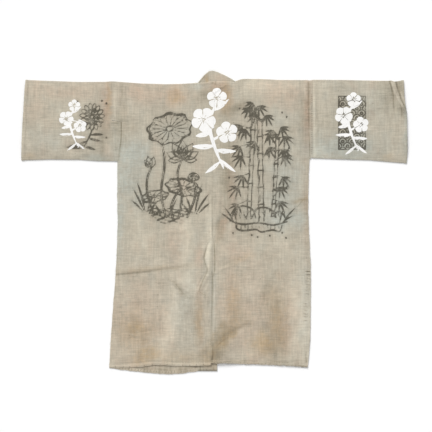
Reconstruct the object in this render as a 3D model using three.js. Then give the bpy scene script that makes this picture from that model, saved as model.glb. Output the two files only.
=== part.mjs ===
// A pilgrim's jacket of coarse unlined cloth, laid flat on a table with its back upwards.
// It is cut from narrow loom widths: two body lengths that run from the back hem over the
// shoulder to the front hem, two straight sleeves folded at the top, and one long doubled
// collar band that runs up one front edge, round the back of the neck and down the other.
// Millimetres. x runs across the back to the right, y from the hem up to the collar, z up.
// Sizes are taken from the shoulder line (y = 0) and the middle of the back (x = 0), and the
// finished jacket is then moved so that its origin is the middle of its outline on the table.
import * as THREE from "three";

const CLOTH = 1.2; // wall of one layer of cloth
const BAND = 2.2; // wall of the collar band, which is cloth folded double
const SEAM_GAP = 0.35; // space between pieces at a seam, and between layers that touch
const BACK_LENGTH = 882; // shoulder line to the level that the back hem is drawn from
const FRONT_LENGTH = 894; // the same for the fronts, which hang a little longer
const SLEEVE_DEPTH = 246; // shoulder fold to the seam under the arm
const HEM_TURN = 10; // width of the turned hems
const HEM_EXTRA = 0.6; // how much thicker a turned hem is
const LOFT = 1.6; // how far the upper layer floats clear of the lower in the middle of a panel
const LOFT_EDGE = 60; // how far in from an edge the cloth takes to rise to that
const COLLAR_WIDTH = 60;
const BAND_LIFT = BAND + SEAM_GAP; // how far the right band is raised to lie on the left one
const STACK = 2 * BAND + 2 * SEAM_GAP + 0.1; // underside of what lies over both bands
const REST = CLOTH + SEAM_GAP; // underside of the upper layer where only one layer is below
const HEM_REACH = 150; // how far up from the hem its unevenness is felt
const SHOULDER_REACH = 100; // how far down from the shoulder its unevenness is felt

// Outlines. Each row gives a level y and the place x there, or a place x and the level y there.
const CENTRE_SEAM = [
  { y: 4, x: 8 },
  { y: -60, x: 6 },
  { y: -150, x: 2 },
  { y: -260, x: -0.6 },
  { y: -493, x: -1.6 },
  { y: -561, x: 1 },
  { y: -629, x: -2.6 },
  { y: -741, x: -4.6 },
  { y: -910, x: -6.8 },
];
const LEFT_EDGE = [
  { y: 4, x: -313 },
  { y: -122, x: -313 },
  { y: -127, x: -286 },
  { y: -188, x: -285 },
  { y: -220, x: -291 },
  { y: -236, x: -293.5 },
  { y: -242, x: -294.4 },
  { y: -252, x: -296 },
  { y: -369, x: -296.5 },
  { y: -446, x: -295 },
  { y: -540, x: -298.5 },
  { y: -617, x: -303 },
  { y: -710, x: -310 },
  { y: -803, x: -317 },
  { y: -900, x: -321.5 },
];
const RIGHT_EDGE = [
  { y: 4, x: 308.4 },
  { y: -122, x: 308.4 },
  { y: -127, x: 308.4 },
  { y: -236, x: 308.2 },
  { y: -242, x: 299 },
  { y: -292, x: 296 },
  { y: -406, x: 294.6 },
  { y: -493, x: 298.5 },
  { y: -570, x: 302 },
  { y: -679, x: 303 },
  { y: -818, x: 303 },
  { y: -856, x: 298 },
  { y: -900, x: 293.5 },
];
const LEFT_FRONT_EDGE = [
  { y: 4, x: -46.5 },
  { y: -90, x: -47.2 },
  { y: -900, x: -47.2 },
];
const RIGHT_FRONT_EDGE = [
  { y: 4, x: 69 },
  { y: -110, x: 56 },
  { y: -250, x: 46 },
  { y: -450, x: 40 },
  { y: -900, x: 36 },
];
const LEFT_SHOULDER = [
  { x: -600, y: 3.5 },
  { x: -580, y: 3 },
  { x: -505, y: 0 },
  { x: -412, y: -3.2 },
  { x: -335, y: -3 },
  { x: -313, y: -1.2 },
  { x: -280, y: -3.5 },
  { x: -225, y: -7.8 },
  { x: -148, y: -10.2 },
  { x: -100, y: -9.3 },
  { x: -46.5, y: -6 },
  { x: -9, y: -1.5 },
  { x: 8, y: -1 },
];
const RIGHT_SHOULDER = [
  { x: 7, y: -1 },
  { x: 34, y: -0.6 },
  { x: 69, y: -1 },
  { x: 90, y: 6.2 },
  { x: 145, y: 6.2 },
  { x: 207, y: 3.1 },
  { x: 290, y: 2.6 },
  { x: 300, y: 1.6 },
  { x: 312, y: 3.6 },
  { x: 394, y: 3 },
  { x: 487, y: 1.2 },
  { x: 542, y: 0.2 },
  { x: 552, y: 1.6 },
  { x: 562, y: -2.4 },
  { x: 590, y: 2.2 },
  { x: 603, y: 2.2 },
];
const LEFT_BACK_HEM = [
  { x: -322, y: -888 },
  { x: -263, y: -888 },
  { x: -222, y: -886 },
  { x: -184, y: -880 },
  { x: -155, y: -880 },
  { x: -112, y: -884 },
  { x: -48, y: -882 },
  { x: 0, y: -880.5 },
];
const RIGHT_BACK_HEM = [
  { x: -8, y: -875 },
  { x: 34, y: -875 },
  { x: 84, y: -877 },
  { x: 183, y: -880.4 },
  { x: 239, y: -884.4 },
  { x: 276, y: -888 },
  { x: 295, y: -890.6 },
];
const LEFT_FRONT_HEM = [
  { x: -322, y: -889.5 },
  { x: -251, y: -898 },
  { x: -193, y: -905 },
  { x: -133, y: -908.5 },
  { x: -97, y: -906.4 },
  { x: -58, y: -900 },
  { x: -47, y: -898.5 },
];
const RIGHT_FRONT_HEM = [
  { x: 36, y: -868 },
  { x: 150, y: -872 },
  { x: 295, y: -884 },
];
const LEFT_UNDERARM = [
  { x: -594, y: -246 },
  { x: -505, y: -243 },
  { x: -412, y: -244 },
  { x: -356, y: -248 },
  { x: -290, y: -249 },
];
const RIGHT_UNDERARM = [
  { x: 300, y: -239 },
  { x: 394, y: -242.7 },
  { x: 487, y: -245.5 },
  { x: 549, y: -251 },
  { x: 600, y: -255 },
];
const LEFT_CUFF = [
  { y: 4, x: -580.5 },
  { y: -60, x: -585 },
  { y: -180, x: -592 },
  { y: -246, x: -593.6 },
];
const RIGHT_CUFF = [
  { y: 4, x: 590.5 },
  { y: -46, x: 592 },
  { y: -84, x: 596.8 },
  { y: -115, x: 600.6 },
  { y: -183, x: 601.4 },
  { y: -220, x: 602.3 },
  { y: -256, x: 598.4 },
];

// The largest folds, each a ridge from one point to another. before is how far it slopes away on
// the left of that direction and after on the right of it. A height below nought is a trough.
const FOLDS = [
  { name: "storage crease", fromX: -306, fromY: -598, toX: -92, toY: -572, height: 2.2, before: 34, after: 9 },
  { name: "crease below it", fromX: -150, fromY: -606, toX: -70, toY: -694, height: 2.4, before: 30, after: 16 },
  { name: "pucker beside the centre seam", fromX: -13, fromY: -508, toX: -14, toY: -606, height: 3.4, before: 12, after: 14 },
  { name: "tail of the pucker", fromX: -16, fromY: -600, toX: -50, toY: -652, height: 2, before: 22, after: 8 },
  { name: "lower left swell", fromX: -166, fromY: -690, toX: -158, toY: -880, height: 2.6, before: 48, after: 52 },
  { name: "lower right slant", fromX: 12, fromY: -850, toX: 118, toY: -716, height: 2.4, before: 34, after: 46 },
  { name: "right hem swell", fromX: 214, fromY: -700, toX: 242, toY: -880, height: 1.8, before: 50, after: 44 },
  { name: "left shoulder ripple", fromX: -250, fromY: -30, toX: -236, toY: -210, height: 1.3, before: 26, after: 22 },
  { name: "right shoulder ripple", fromX: 236, fromY: -20, toX: 252, toY: -196, height: 1.3, before: 20, after: 26 },
  { name: "left sleeve drag", fromX: -520, fromY: -40, toX: -430, toY: -196, height: 1.4, before: 32, after: 40 },
  { name: "right sleeve drag", fromX: 420, fromY: -200, toX: 500, toY: -60, height: 1.4, before: 38, after: 30 },
  { name: "fold across the right cuff", fromX: 557, fromY: -2, toX: 590, toY: -104, height: 5.6, before: 7, after: 21 },
  { name: "second fold at that cuff", fromX: 524, fromY: -26, toX: 534, toY: -92, height: 1.8, before: 8, after: 16 },
  { name: "right armhole ridge", fromX: 314, fromY: -8, toX: 315, toY: -232, height: 1.8, before: 6, after: 6 },
];

const smooth = (t) => {
  const held = Math.min(1, Math.max(0, t));
  return held * held * (3 - 2 * held);
};

// The column named want of a table at a given value of its column named by, read between rows.
function read(table, by, want, at) {
  const falling = table[0][by] > table[table.length - 1][by];
  const past = table.findIndex((row) => (falling ? row[by] <= at : row[by] >= at));
  if (past <= 0) return table[past === 0 ? 0 : table.length - 1][want];
  const [a, b] = [table[past - 1], table[past]];
  return a[want] + ((b[want] - a[want]) * (at - a[by])) / (b[by] - a[by]);
}
const placeAt = (table, y) => read(table, "y", "x", y);
const levelAt = (table, x) => read(table, "x", "y", x);

// Numbers from one end to another, cut into the given number of equal cells.
const steps = (from, to, cells) => Array.from({ length: cells + 1 }, (_, i) => from + ((to - from) * i) / cells);
// Numbers through a plan of stretches, each with the place where it ends and its number of cells.
function plan(start, stretches) {
  const made = [start];
  for (const { to, cells } of stretches) made.push(...steps(made[made.length - 1], to, cells).slice(1));
  return made;
}

// Height of the folds at a point: each falls off smoothly to its sides and past its ends.
function foldsAt(x, y) {
  let height = 0;
  for (const fold of FOLDS) {
    const alongX = fold.toX - fold.fromX;
    const alongY = fold.toY - fold.fromY;
    const length = Math.hypot(alongX, alongY);
    const along = ((x - fold.fromX) * alongX + (y - fold.fromY) * alongY) / length;
    const aside = (alongX * (y - fold.fromY) - alongY * (x - fold.fromX)) / length;
    const across = 1 - Math.abs(aside) / (aside > 0 ? fold.before : fold.after);
    const ends = Math.min(along, length - along) / Math.min(40, length / 3) + 0.5;
    height += fold.height * smooth(across) * smooth(ends);
  }
  return height;
}

// Underside of the upper layer over the collar bands: it rises onto them from both sides.
const BANDS_LEFT = { foot: -95, top: -25 };
const BANDS_RIGHT = { foot: 95, top: 25 };
function clearance(x) {
  const fromLeft = smooth((x - BANDS_LEFT.foot) / (BANDS_LEFT.top - BANDS_LEFT.foot));
  const fromRight = smooth((BANDS_RIGHT.foot - x) / (BANDS_RIGHT.foot - BANDS_RIGHT.top));
  return REST + (STACK - REST) * Math.min(fromLeft, fromRight);
}

// Middle of the upper layer at a point that lies inset from the nearest edge.
function upperLayer(x, y, inset) {
  return clearance(x) + CLOTH / 2 + LOFT * smooth(inset / LOFT_EDGE) + foldsAt(x, y);
}

// A patch is a net of points and the four-sided faces between them. It is made into a closed
// solid with half of the wall on each side and a strip round every open edge.
// extra[i], where given, is added to the wall on the outer side at point i, and where seam[i] is
// true the wall doesn't lean towards the neighbour on the other side of the seam.
function wallOf(patch, wall) {
  const { points, faces, extra = [], seam = [] } = patch;
  const normals = points.map(() => new THREE.Vector3());
  const across = new THREE.Vector3();
  const down = new THREE.Vector3();
  for (const [a, b, c, d] of faces) {
    across.subVectors(points[c], points[a]);
    down.subVectors(points[d], points[b]);
    const normal = across.clone().cross(down).normalize();
    for (const corner of [a, b, c, d]) normals[corner].add(normal);
  }
  const count = points.length;
  const positions = new Float32Array(count * 6);
  points.forEach((point, i) => {
    if (seam[i]) normals[i].x = 0;
    const normal = normals[i].normalize();
    point.clone().addScaledVector(normal, wall / 2 + (extra[i] ?? 0)).toArray(positions, i * 3);
    point.clone().addScaledVector(normal, -wall / 2).toArray(positions, (count + i) * 3);
  });
  const triangles = [];
  const quad = (a, b, c, d) => triangles.push(a, b, c, a, c, d);
  const open = new Map();
  for (const face of faces) {
    face.forEach((from, i) => {
      const to = face[(i + 1) % 4];
      const back = to + ":" + from;
      if (open.has(back)) open.delete(back);
      else open.set(from + ":" + to, [from, to]);
    });
    const [a, b, c, d] = face;
    quad(a, b, c, d);
    quad(count + d, count + c, count + b, count + a);
  }
  for (const [from, to] of open.values()) quad(to, from, count + from, count + to);
  const geometry = new THREE.BufferGeometry();
  geometry.setAttribute("position", new THREE.BufferAttribute(positions, 3));
  geometry.setIndex(triangles);
  geometry.computeVertexNormals();
  return geometry;
}

// A net of rows by columns from a function that gives the point, joined on to a patch.
// Where round is true, the last row joins the first.
function addNet(patch, rows, columns, pointAt, round = false) {
  const start = patch.points.length;
  for (let r = 0; r < rows; r++)
    for (let c = 0; c < columns; c++) patch.points.push(pointAt(r, c));
  for (let r = 0; r < rows - (round ? 0 : 1); r++)
    for (let c = 0; c < columns - 1; c++) {
      const here = start + r * columns + c;
      const next = start + ((r + 1) % rows) * columns + c;
      patch.faces.push([here, here + 1, next + 1, next]);
    }
  return start;
}

// One body length. The upper layer is the back, as far as the centre seam. At the shoulder it
// bends over, outside the neck, into the lower layer, which is the front, as far as its edge.
const ARM_ROWS = [0, -20, -41, -61, -82, -102, -122, -127, -157, -188, -220, -236];
const LOW_ARM_ROWS = [0, -41, -82, -122, -127, -188, -220, -236];
const BACK_ROWS = [
  ...ARM_ROWS,
  ...plan(-242, [
    { to: -494, cells: 9 },
    { to: -662, cells: 14 },
    { to: -BACK_LENGTH + HEM_TURN + 1, cells: 8 },
    { to: -BACK_LENGTH + HEM_TURN, cells: 1 },
    { to: -BACK_LENGTH, cells: 1 },
  ]),
];
const FRONT_ROWS = [
  ...LOW_ARM_ROWS,
  ...plan(-242, [
    { to: -FRONT_LENGTH + HEM_TURN + 1, cells: 6 },
    { to: -FRONT_LENGTH + HEM_TURN, cells: 1 },
    { to: -FRONT_LENGTH, cells: 1 },
  ]),
];
const SIDE_COLUMNS = steps(0, 1, 13); // side edge to the line below the neck point
const NECK_COLUMNS = steps(0, 1, 5); // that line to the centre seam
const FOLD_CELLS = 6;

function bodyLength(side) {
  const { edge, frontEdge, shoulder, backHem, frontHem, centreGap, frontGap } = side;
  const centreAt = (y) => placeAt(CENTRE_SEAM, y) + centreGap;
  const neckAt = (y) => placeAt(frontEdge, y) + frontGap;
  const bent = (x, y, hem, length) =>
    y +
    (levelAt(hem, x) + length) * Math.max(0, 1 - (y + length) / HEM_REACH) +
    levelAt(shoulder, x) * Math.max(0, 1 + y / SHOULDER_REACH);
  const insetAt = (x, y) => Math.min(Math.abs(x - placeAt(edge, y)), -y, y + BACK_LENGTH);
  const radiusAt = (x) => (upperLayer(x, 0, 0) - CLOTH / 2) / 2;
  const foldAt = (x) => levelAt(shoulder, x) - radiusAt(x) - CLOTH / 2;
  const backPoint = (x, y) => {
    const level = bent(x, y, backHem, BACK_LENGTH);
    const height = upperLayer(x, level, Math.max(0, insetAt(x, y)));
    return new THREE.Vector3(x, y === 0 ? foldAt(x) : level, height);
  };
  const patch = { points: [], faces: [], extra: [], seam: [] };
  const between = (a, b, t) => a + (b - a) * t;
  const columns = SIDE_COLUMNS.length;
  const hairpinRows = [
    ...BACK_ROWS.toReversed().map((y) => ({ layer: "back", y })),
    ...steps(0, Math.PI, FOLD_CELLS).slice(1).map((turn) => ({ layer: "fold", turn, y: 0 })),
    ...FRONT_ROWS.slice(1).map((y) => ({ layer: "front", y })),
  ];
  addNet(patch, hairpinRows.length, columns, (r, c) => {
    const { layer, y, turn } = hairpinRows[r];
    const x = between(placeAt(edge, y), neckAt(y), SIDE_COLUMNS[c]);
    if (layer === "back") return backPoint(x, y);
    const radius = radiusAt(x);
    const low = CLOTH / 2;
    if (layer === "fold")
      return new THREE.Vector3(x, foldAt(x) + radius * Math.sin(turn), low + radius * (1 + Math.cos(turn)));
    return new THREE.Vector3(x, bent(x, y, frontHem, FRONT_LENGTH), low);
  });
  // Beyond the neck point the back goes on to the centre seam, and its top edge is the neckline.
  // Its first column is the hairpin's last one, so those points are shared and not made again.
  const shared = (r) => r * columns + columns - 1;
  const backCount = BACK_ROWS.length;
  const inner = NECK_COLUMNS.slice(1);
  const start = patch.points.length;
  for (let r = 0; r < backCount; r++) {
    const y = hairpinRows[r].y;
    for (const share of inner) {
      const x = between(neckAt(y), centreAt(y), share);
      const point = backPoint(x, y);
      if (y === 0) point.y = between(foldAt(neckAt(0)), levelAt(shoulder, x) - 2 * SEAM_GAP, smooth(share * 2));
      patch.points.push(point);
    }
  }
  const at = (r, c) => (c === 0 ? shared(r) : start + r * inner.length + c - 1);
  for (let r = 0; r < backCount - 1; r++)
    for (let c = 0; c < inner.length; c++) patch.faces.push([at(r, c), at(r, c + 1), at(r + 1, c + 1), at(r + 1, c)]);
  // The turned hems are thicker on their outer side.
  patch.points.forEach((point, i) => {
    const row = i < start ? hairpinRows[Math.floor(i / columns)] : hairpinRows[Math.floor((i - start) / inner.length)];
    const onBack = row.layer === "back" && row.y <= -BACK_LENGTH + HEM_TURN;
    patch.extra[i] = onBack ? HEM_EXTRA : 0;
    const column = i < start ? i % columns : columns + ((i - start) % inner.length);
    const ofFront = i < start && row.layer !== "back" && column === columns - 1;
    patch.seam[i] = column === 0 || ofFront || column === columns + inner.length - 1;
  });
  if (side.mirrored) patch.faces.forEach((face) => face.reverse());
  return wallOf(patch, CLOTH);
}

// A sleeve is one width of cloth, a tube folded flat. Its rings run round the tube, from the
// top fold down the upper layer, round the seam under the arm and back along the lower layer.
const BEND_CELLS = 4;
const UNDERARM_REACH = 26; // how far up from the underarm seam its unevenness is felt

function sleeve(side) {
  const { cuff, edge, shoulder, underarm, armGap, armDrop, armFoot, cells } = side;
  const turns = steps(0, Math.PI, BEND_CELLS);
  const rows = [
    ...turns.toReversed().map((turn) => ({ y: 0, turn, sign: 1 })),
    ...ARM_ROWS.slice(1).map((y) => ({ y, upper: true })),
    ...turns.map((turn) => ({ y: -SLEEVE_DEPTH, turn, sign: -1 })),
    ...LOW_ARM_ROWS.slice(1).toReversed().map((y) => ({ y })),
  ];
  const shares = plan(0, cells);
  const patch = { points: [], faces: [] };
  addNet(patch, rows.length, shares.length, (r, c) => {
    const { y, upper, turn, sign } = rows[r];
    const shift = (at) => (levelAt(underarm, at) + SLEEVE_DEPTH) * Math.max(0, 1 - (y + SLEEVE_DEPTH) / UNDERARM_REACH);
    const arm = placeAt(edge, Math.max(y + shift(placeAt(edge, y)), armFoot)) + armGap;
    const x = placeAt(cuff, y) + (arm - placeAt(cuff, y)) * shares[c];
    const atStep = y === -122 || y === -127;
    const level =
      y +
      levelAt(shoulder, x) * Math.max(0, 1 + y / SHOULDER_REACH) +
      shift(x) -
      (atStep ? armDrop * smooth(1 - Math.abs(x - arm) / 40) : 0);
    const low = CLOTH / 2;
    if (turn !== undefined) {
      const radius = (upperLayer(x, level, 0) - low) / 2;
      const out = radius * Math.sin(turn) - radius - low;
      return new THREE.Vector3(x, level + sign * out, low + radius * (1 + Math.cos(turn)));
    }
    const inset = Math.max(0, Math.min(-y, y + SLEEVE_DEPTH, Math.abs(x - arm)));
    return new THREE.Vector3(x, level, upper ? upperLayer(x, level, inset) : low);
  }, true);
  patch.seam = patch.points.map((_, i) => i % shares.length === shares.length - 1);
  if (side.mirrored) patch.faces.forEach((face) => face.reverse());
  return wallOf(patch, CLOTH);
}

// The collar band. Its sections run from the edge that is sewn to the jacket to its free edge.
// It lies along the left front edge, bends over at the left of the neck, crosses the back of
// the neck above the other layers, bends under at the right and lies along the right front edge.
const LEFT_BEND = { sewnX: -44.6, sewnY: -6.5, freeX: -10.4, freeY: 29.4 };
const RIGHT_BEND = { sewnX: 66.4, sewnY: -2.2, freeX: 11.6, freeY: 26.8 };
const LEFT_TURN = { level: -90, pullX: 12, pullY: 12 }; // where the band has turned to lie straight
const RIGHT_TURN = { level: -110, pullX: 1, pullY: 8 };
const LEFT_END = -898.6;
const RIGHT_END = -868;
const BAND_COLUMNS = steps(0, 1, 4);
const RAMP = { foot: 50, top: 19 }; // the right band rises between these onto the left one

const lowBand = () => BAND / 2;
const overBand = (x) => BAND / 2 + BAND_LIFT * smooth((RAMP.foot - x) / (RAMP.foot - RAMP.top));
const acrossNeck = (x) => BAND / 2 + 3 + (STACK - 3) * smooth((x + 48) / 26) * smooth((72 - x) / 40);

function collar() {
  const sections = [];
  const straight = (level, edge, sign, height) => {
    const sewn = placeAt(edge, level);
    return { sewnX: sewn, sewnY: level, freeX: sewn + sign * COLLAR_WIDTH, freeY: level, height };
  };
  // From the bend at the neck the sections swing round until they lie straight across the band.
  const turning = (bend, end, turn, height) =>
    steps(0, 1, 7).map((t) => ({
      sewnX: bend.sewnX + (end.sewnX - bend.sewnX) * t,
      sewnY: bend.sewnY + (end.sewnY - bend.sewnY) * t,
      freeX: (1 - t) ** 2 * bend.freeX + 2 * t * (1 - t) * turn.pullX + t * t * end.freeX,
      freeY: (1 - t) ** 2 * bend.freeY + 2 * t * (1 - t) * turn.pullY + t * t * end.freeY,
      height,
    }));
  // The bend itself is half a turn about the section, bulging away from the neck.
  const bending = (bend, sign, low) => {
    const length = Math.hypot(bend.freeX - bend.sewnX, bend.freeY - bend.sewnY);
    const outX = (-sign * (bend.freeY - bend.sewnY)) / length;
    const outY = (sign * (bend.freeX - bend.sewnX)) / length;
    return steps(0, Math.PI, FOLD_CELLS).map((turn) => ({ ...bend, outX, outY, turn, low }));
  };
  const left = bending(LEFT_BEND, 1, lowBand);
  const right = bending(RIGHT_BEND, -1, overBand);
  const leftTop = straight(LEFT_TURN.level, LEFT_FRONT_EDGE, 1, lowBand);
  const rightTop = straight(RIGHT_TURN.level, RIGHT_FRONT_EDGE, -1, overBand);
  sections.push(...steps(LEFT_END, LEFT_TURN.level, 12).map((y) => straight(y, LEFT_FRONT_EDGE, 1, lowBand)));
  sections.push(...turning(LEFT_BEND, leftTop, LEFT_TURN, lowBand).slice(1, -1).toReversed());
  sections.push(...left);
  sections.push(
    ...steps(0, 1, 8).slice(1, -1).map((t) => {
      const sewnX = LEFT_BEND.sewnX + (RIGHT_BEND.sewnX - LEFT_BEND.sewnX) * t;
      return {
        sewnX,
        sewnY: levelAt(sewnX < placeAt(CENTRE_SEAM, 0) ? LEFT_SHOULDER : RIGHT_SHOULDER, sewnX),
        freeX: LEFT_BEND.freeX + (RIGHT_BEND.freeX - LEFT_BEND.freeX) * t,
        freeY: LEFT_BEND.freeY + (RIGHT_BEND.freeY - LEFT_BEND.freeY) * t + 2.4 * Math.sin(Math.PI * t),
        height: acrossNeck,
      };
    }),
  );
  sections.push(...right.toReversed());
  sections.push(...turning(RIGHT_BEND, rightTop, RIGHT_TURN, overBand).slice(1, -1));
  sections.push(...steps(RIGHT_TURN.level, RIGHT_END, 12).map((y) => straight(y, RIGHT_FRONT_EDGE, -1, overBand)));
  const patch = { points: [], faces: [] };
  addNet(patch, sections.length, BAND_COLUMNS.length, (r, c) => {
    const section = sections[r];
    const x = section.sewnX + (section.freeX - section.sewnX) * BAND_COLUMNS[c];
    const y = section.sewnY + (section.freeY - section.sewnY) * BAND_COLUMNS[c];
    if (section.turn === undefined) return new THREE.Vector3(x, y, section.height(x));
    const low = section.low(x);
    const radius = (acrossNeck(x) - low) / 2;
    const out = radius * Math.sin(section.turn);
    return new THREE.Vector3(x + section.outX * out, y + section.outY * out, low + radius * (1 - Math.cos(section.turn)));
  });
  patch.faces.forEach((face) => face.reverse());
  return wallOf(patch, BAND);
}

const LEFT = {
  edge: LEFT_EDGE,
  frontEdge: LEFT_FRONT_EDGE,
  shoulder: LEFT_SHOULDER,
  backHem: LEFT_BACK_HEM,
  frontHem: LEFT_FRONT_HEM,
  cuff: LEFT_CUFF,
  underarm: LEFT_UNDERARM,
  centreGap: -0.6 * SEAM_GAP,
  frontGap: -1.2 * SEAM_GAP,
  armGap: -1.2 * SEAM_GAP,
  armDrop: 0.8,
  armFoot: -SLEEVE_DEPTH,
  cells: [{ to: 0.05, cells: 1 }, { to: 1, cells: 12 }],
  mirrored: false,
};
const RIGHT = {
  edge: RIGHT_EDGE,
  frontEdge: RIGHT_FRONT_EDGE,
  shoulder: RIGHT_SHOULDER,
  backHem: RIGHT_BACK_HEM,
  frontHem: RIGHT_FRONT_HEM,
  cuff: RIGHT_CUFF,
  underarm: RIGHT_UNDERARM,
  centreGap: 0.6 * SEAM_GAP,
  frontGap: 2 * SEAM_GAP,
  armGap: SEAM_GAP,
  armDrop: 0,
  armFoot: -236,
  cells: [{ to: 0.3, cells: 12 }, { to: 0.94, cells: 7 }, { to: 1, cells: 4 }],
  mirrored: true,
};

const CLOTH_COLOUR = 0xbcb29d;
const BAND_COLOUR = 0xb8ae98;
function piece(name, geometry, colour) {
  const material = new THREE.MeshStandardMaterial({ color: colour, roughness: 0.92, metalness: 0 });
  const mesh = new THREE.Mesh(geometry, material);
  mesh.name = name;
  return mesh;
}

const jacket = new THREE.Group();
jacket.add(
  piece("body_length_left", bodyLength(LEFT), CLOTH_COLOUR),
  piece("body_length_right", bodyLength(RIGHT), CLOTH_COLOUR),
  piece("sleeve_left", sleeve(LEFT), CLOTH_COLOUR),
  piece("sleeve_right", sleeve(RIGHT), CLOTH_COLOUR),
  piece("collar", collar(), BAND_COLOUR),
);

// The origin is the middle of the outline, on the table.
const outline = new THREE.Box3().setFromObject(jacket);
jacket.position.set(-(outline.min.x + outline.max.x) / 2, -(outline.min.y + outline.max.y) / 2, -outline.min.z);

export default jacket;
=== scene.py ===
"""A pilgrim's jacket of coarse unlined cloth, laid flat with its back upwards.

Tables and sizes are in millimetres from the shoulder line (y = 0) and the middle of the back
(x = 0), with x to the right, y towards the collar and z up. Meshes are put in metres in the
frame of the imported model.
"""

from __future__ import annotations

import logging
from collections.abc import Callable
from dataclasses import dataclass, field
from enum import Enum
from math import pi, radians

import bpy
import numpy as np
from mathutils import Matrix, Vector


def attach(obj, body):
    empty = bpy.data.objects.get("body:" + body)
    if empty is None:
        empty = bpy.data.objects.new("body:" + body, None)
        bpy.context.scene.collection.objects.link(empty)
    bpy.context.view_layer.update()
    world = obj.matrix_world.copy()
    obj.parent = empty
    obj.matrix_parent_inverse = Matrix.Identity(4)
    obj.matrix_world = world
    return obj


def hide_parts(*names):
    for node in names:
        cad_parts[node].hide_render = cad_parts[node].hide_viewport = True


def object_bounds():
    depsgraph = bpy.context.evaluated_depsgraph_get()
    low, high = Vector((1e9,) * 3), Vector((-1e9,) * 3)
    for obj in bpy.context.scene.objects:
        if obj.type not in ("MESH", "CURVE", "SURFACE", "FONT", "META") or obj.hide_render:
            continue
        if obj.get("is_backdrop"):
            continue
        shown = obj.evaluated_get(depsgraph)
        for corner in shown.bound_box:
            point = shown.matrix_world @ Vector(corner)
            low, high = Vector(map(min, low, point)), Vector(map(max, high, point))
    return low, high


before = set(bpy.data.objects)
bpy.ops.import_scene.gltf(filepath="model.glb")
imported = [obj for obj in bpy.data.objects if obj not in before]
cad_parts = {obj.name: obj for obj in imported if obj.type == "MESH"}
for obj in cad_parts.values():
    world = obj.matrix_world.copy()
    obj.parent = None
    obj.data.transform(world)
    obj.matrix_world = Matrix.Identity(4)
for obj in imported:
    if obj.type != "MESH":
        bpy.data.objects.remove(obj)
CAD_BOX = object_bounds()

log = logging.getLogger("jacket")

Array = np.ndarray
Number = np.ndarray | float
Point = tuple[float, float]
Object, Material, NodeTree = bpy.types.Object, bpy.types.Material, bpy.types.NodeTree
Place = Colour = tuple[float, float, float]

ORIGIN = np.array([4.34, -438.24, 0.0])
CLOTH = 1.2
BAND = 2.2
SEAM_GAP = 0.35
BACK_LENGTH = 882.0
FRONT_LENGTH = 894.0
SLEEVE_DEPTH = 246.0
HEM_TURN = 10.0
HEM_EXTRA = 0.6
LOFT = 1.6
LOFT_EDGE = 60.0
COLLAR_WIDTH = 60.0
BAND_LIFT = BAND + SEAM_GAP
STACK = 2 * BAND + 2 * SEAM_GAP + 0.1
REST = CLOTH + SEAM_GAP
HEM_REACH = 150.0
SHOULDER_REACH = 100.0
UNDERARM_REACH = 26.0
BAND_REACH = 95.0
BAND_SLOPE = 70.0
PANEL_WIDTH = 266.0
STRIP_WIDTH = 50.0
SLEEVE_WIDTH = 300.0
CELL = 3.2
FINE = 1.6
RIM = 0.6
UNDER_TINT = (0.25, 0.2, 0.15)


def smooth(t: Number) -> Array:
    """Ease from 0 to 1: 3t squared less 2t cubed, held at both ends."""
    held = np.clip(t, 0.0, 1.0)
    return held * held * (3.0 - 2.0 * held)


def spaced(start: float, end: float, cell: float) -> Array:
    """Numbers from start to end, both included, in equal steps of about one cell."""
    return np.linspace(start, end, max(1, round(abs(end - start) / cell)) + 1)


def value_noise(x: Array, y: Array, size: float, seed: int) -> Array:
    """Soft noise from -1 to 1: random numbers on a square lattice, eased between its corners.

    Args:
        x, y: Places across and along.
        size: Width of a lattice cell.
        seed: Number that fixes the pattern.

    Returns:
        The noise at each place.
    """
    table = np.random.default_rng(seed).uniform(-1.0, 1.0, (256, 256))
    u, v = np.asarray(x) / size + 64.0, np.asarray(y) / size + 128.0
    i, j = np.floor(u).astype(int), np.floor(v).astype(int)
    s, t = smooth(u - i), smooth(v - j)
    corner = lambda a, b: table[(i + a) % 256, (j + b) % 256]
    return (corner(0, 0) * (1 - s) + corner(1, 0) * s) * (1 - t) + (
        corner(0, 1) * (1 - s) + corner(1, 1) * s
    ) * t


@dataclass(frozen=True)
class Edge:
    """A line on the cloth given by rows of (place along, value), read in between.

    Attributes:
        rows: Pairs of a place and the value there, in order of the place.
        ease: How far the corners of the line are rounded off.
    """

    rows: tuple[Point, ...]
    ease: float = 0.0

    def at(self, place: Number) -> Array:
        """Values of the line: the mean of the straight line's over the easing length.

        Args:
            place: Places along.

        Returns:
            The value at each.
        """
        rows = np.array(sorted(self.rows))
        place = np.asarray(place, dtype=float)
        if not self.ease:
            return np.interp(place, rows[:, 0], rows[:, 1])
        offsets = np.linspace(-self.ease, self.ease, 7)
        return np.interp(place[..., None] + offsets, rows[:, 0], rows[:, 1]).mean(-1)


CENTRE_SEAM = Edge((
    (4, 8), (-60, 6), (-150, 2), (-260, -0.6), (-493, -1.6), (-561, 1), (-629, -2.6), (-741, -4.6),
    (-910, -6.8),
), 8)
LEFT_EDGE = Edge((
    (4, -313), (-122, -313), (-127, -286), (-188, -285), (-220, -291), (-236, -293.5), (-242, -294.4),
    (-252, -296), (-369, -296.5), (-446, -295), (-540, -298.5), (-617, -303), (-710, -310), (-803, -317),
    (-900, -321.5),
))
RIGHT_EDGE = Edge((
    (4, 308.4), (-122, 308.4), (-127, 308.4), (-236, 308.2), (-242, 299), (-292, 296), (-406, 294.6),
    (-493, 298.5), (-570, 302), (-679, 302.6), (-800, 300.8), (-856, 296.2), (-900, 291),
))
LEFT_FRONT_EDGE = Edge(((4, -46.5), (-90, -47.2), (-900, -47.2)))
RIGHT_FRONT_EDGE = Edge(((4, 69), (-110, 56), (-250, 46), (-450, 40), (-900, 36)))
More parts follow.
